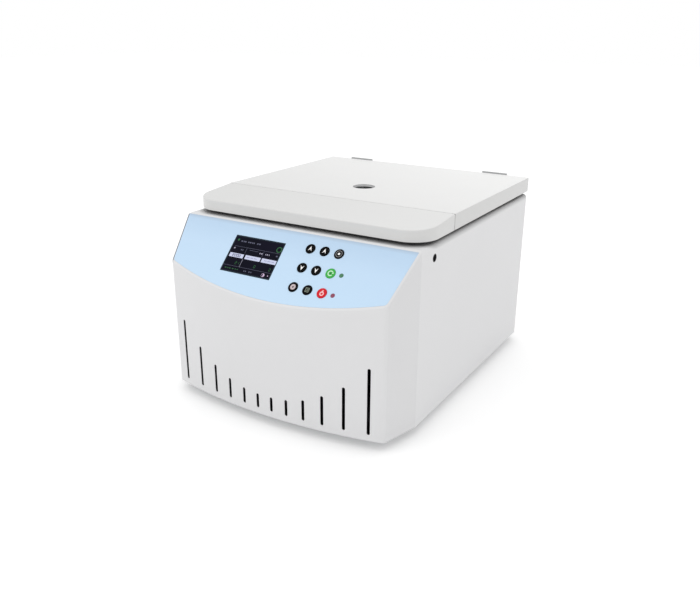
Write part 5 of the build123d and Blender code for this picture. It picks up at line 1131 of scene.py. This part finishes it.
print("a 9 mm screw's outline has", len(screw_profile(9.0 * MM)), "points")


# %% Geometry Nodes: a screw on every point
def screw_group():
    """Points with an "out" vector each get the screw, turned about its own axis by a seeded random angle."""
    group = bpy.data.node_groups.new("screws_on_points", "GeometryNodeTree")
    for name, side, kind in (("Geometry", "INPUT", "Geometry"), ("Screw", "INPUT", "Object"),
                             ("Turn seed", "INPUT", "Int"), ("Finish", "INPUT", "Material"),
                             ("Geometry", "OUTPUT", "Geometry")):
        group.interface.new_socket(name, in_out=side, socket_type=f"NodeSocket{kind}")

    def add(kind, **settings):
        made = group.nodes.new(kind)
        for word, value in settings.items():
            setattr(made, word, value)
        return made

    inputs, result = add("NodeGroupInput"), add("NodeGroupOutput")
    screw = add("GeometryNodeObjectInfo", transform_space="ORIGINAL")
    out = add("GeometryNodeInputNamedAttribute", data_type="FLOAT_VECTOR")
    out.inputs["Name"].default_value = "out"
    aim = add("FunctionNodeAlignRotationToVector", axis="Z")
    turn = add("FunctionNodeRandomValue", data_type="FLOAT")
    turn.inputs[3].default_value = 2 * math.pi
    about = add("FunctionNodeAxisAngleToRotation")
    about.inputs["Axis"].default_value = (0, 0, 1)
    spin = add("FunctionNodeRotateRotation", rotation_space="LOCAL")
    place = add("GeometryNodeInstanceOnPoints")
    real = add("GeometryNodeRealizeInstances")
    coat = add("GeometryNodeSetMaterial")
    for source, output, target, socket in (
        (inputs, "Screw", screw, "Object"), (inputs, "Turn seed", turn, "Seed"),
        (out, "Attribute", aim, "Vector"), (turn, 1, about, "Angle"),
        (aim, "Rotation", spin, "Rotation"), (about, "Rotation", spin, 1),
        (inputs, "Geometry", place, "Points"), (screw, "Geometry", place, "Instance"),
        (spin, 0, place, "Rotation"), (place, "Instances", real, "Geometry"),
        (real, "Geometry", coat, "Geometry"), (inputs, "Finish", coat, "Material"),
        (coat, "Geometry", result, "Geometry"),
    ):
        group.links.new(source.outputs[output], target.inputs[socket])
    return group


SCREW_GROUP = screw_group()


def identifier(name):
    return next(item.identifier for item in SCREW_GROUP.interface.items_tree
                if item.item_type == "SOCKET" and item.in_out == "INPUT" and item.name == name)


def screws_piece(node, name, body, seed):
    """All the screws of one node, of every length, as one piece."""
    whole = bmesh.new()
    places = screws_of(node)
    for length in sorted({length for _, _, length in places}):
        chosen = [(seat, out) for seat, out, own in places if own == length]
        points = bpy.data.meshes.new("screw_points")
        points.from_pydata([seat for seat, _ in chosen], [], [])
        vectors = points.attributes.new("out", "FLOAT_VECTOR", "POINT")
        for item, (_, out) in zip(vectors.data, chosen):
            item.vector = out
        cloud = linked("screw_cloud", points)
        model = linked("screw_model", cut_screw(length))
        modifier = cloud.modifiers.new("screws", "NODES")
        modifier.node_group = SCREW_GROUP
        modifier[identifier("Screw")] = model
        modifier[identifier("Turn seed")] = seed
        modifier[identifier("Finish")] = ZINC.material
        whole.from_mesh(evaluated_mesh(cloud, "screws"))
        for holder in (cloud, model):
            bpy.data.objects.remove(holder)
    made = piece(name, mesh_of(whole, name), ZINC, body, SCREW_SMOOTH)
    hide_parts(node)
    return made


for seed, (node, name, body) in enumerate((("cabinet_screws", "cross_screws_cabinet", "cabinet"),
                                           ("lid_screws", "cross_screws_lid", "lid")), 11):
    made = screws_piece(node, name, body, seed)
    print(made.name, len(made.data.polygons), "faces")

# %% [markdown]
# ## Loaded carriers
# Each clip holds a glass slide, a filter card and a white sample chamber with its funnel. They arrive as one
# solid group, so each gets its own piece and finish. The count of their faces tells them apart: the slide is
# a plain block, the card a block with a hole, and the chamber has many more.

# %% Slide, card and chamber of each carrier
CARRIERS = sorted(name for name in nodes if name.startswith("sample_chamber_"))
CARRIER_SMOOTH = 30  # degrees


def group_mesh(part, name):
    """A mesh of some faces of a bmesh."""
    keep = bmesh.new()
    index = {}
    for face in part:
        for vertex in face.verts:
            if vertex not in index:
                index[vertex] = keep.verts.new(vertex.co)
        keep.faces.new([index[vertex] for vertex in face.verts])
    bmesh.ops.recalc_face_normals(keep, faces=keep.faces)
    return mesh_of(keep, name)


for node in CARRIERS:
    number = node.split("_")[-1]
    shape = merged_copy(node)
    slide, card, chamber = sorted(loose_parts(shape), key=len)
    for part, title, finish, slot in ((slide, "slide_glass", SLIDE, "clear"),
                                      (card, "filter_card", CARD, "funnel"),
                                      (chamber, "sample_funnel", FUNNEL, "funnel")):
        name = f"{title}_{number}"
        made = piece(name, group_mesh(part, name), finish, f"carrier_{number}", CARRIER_SMOOTH)
        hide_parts(node)
    shape.free()
print("loaded", len(CARRIERS), "carriers")
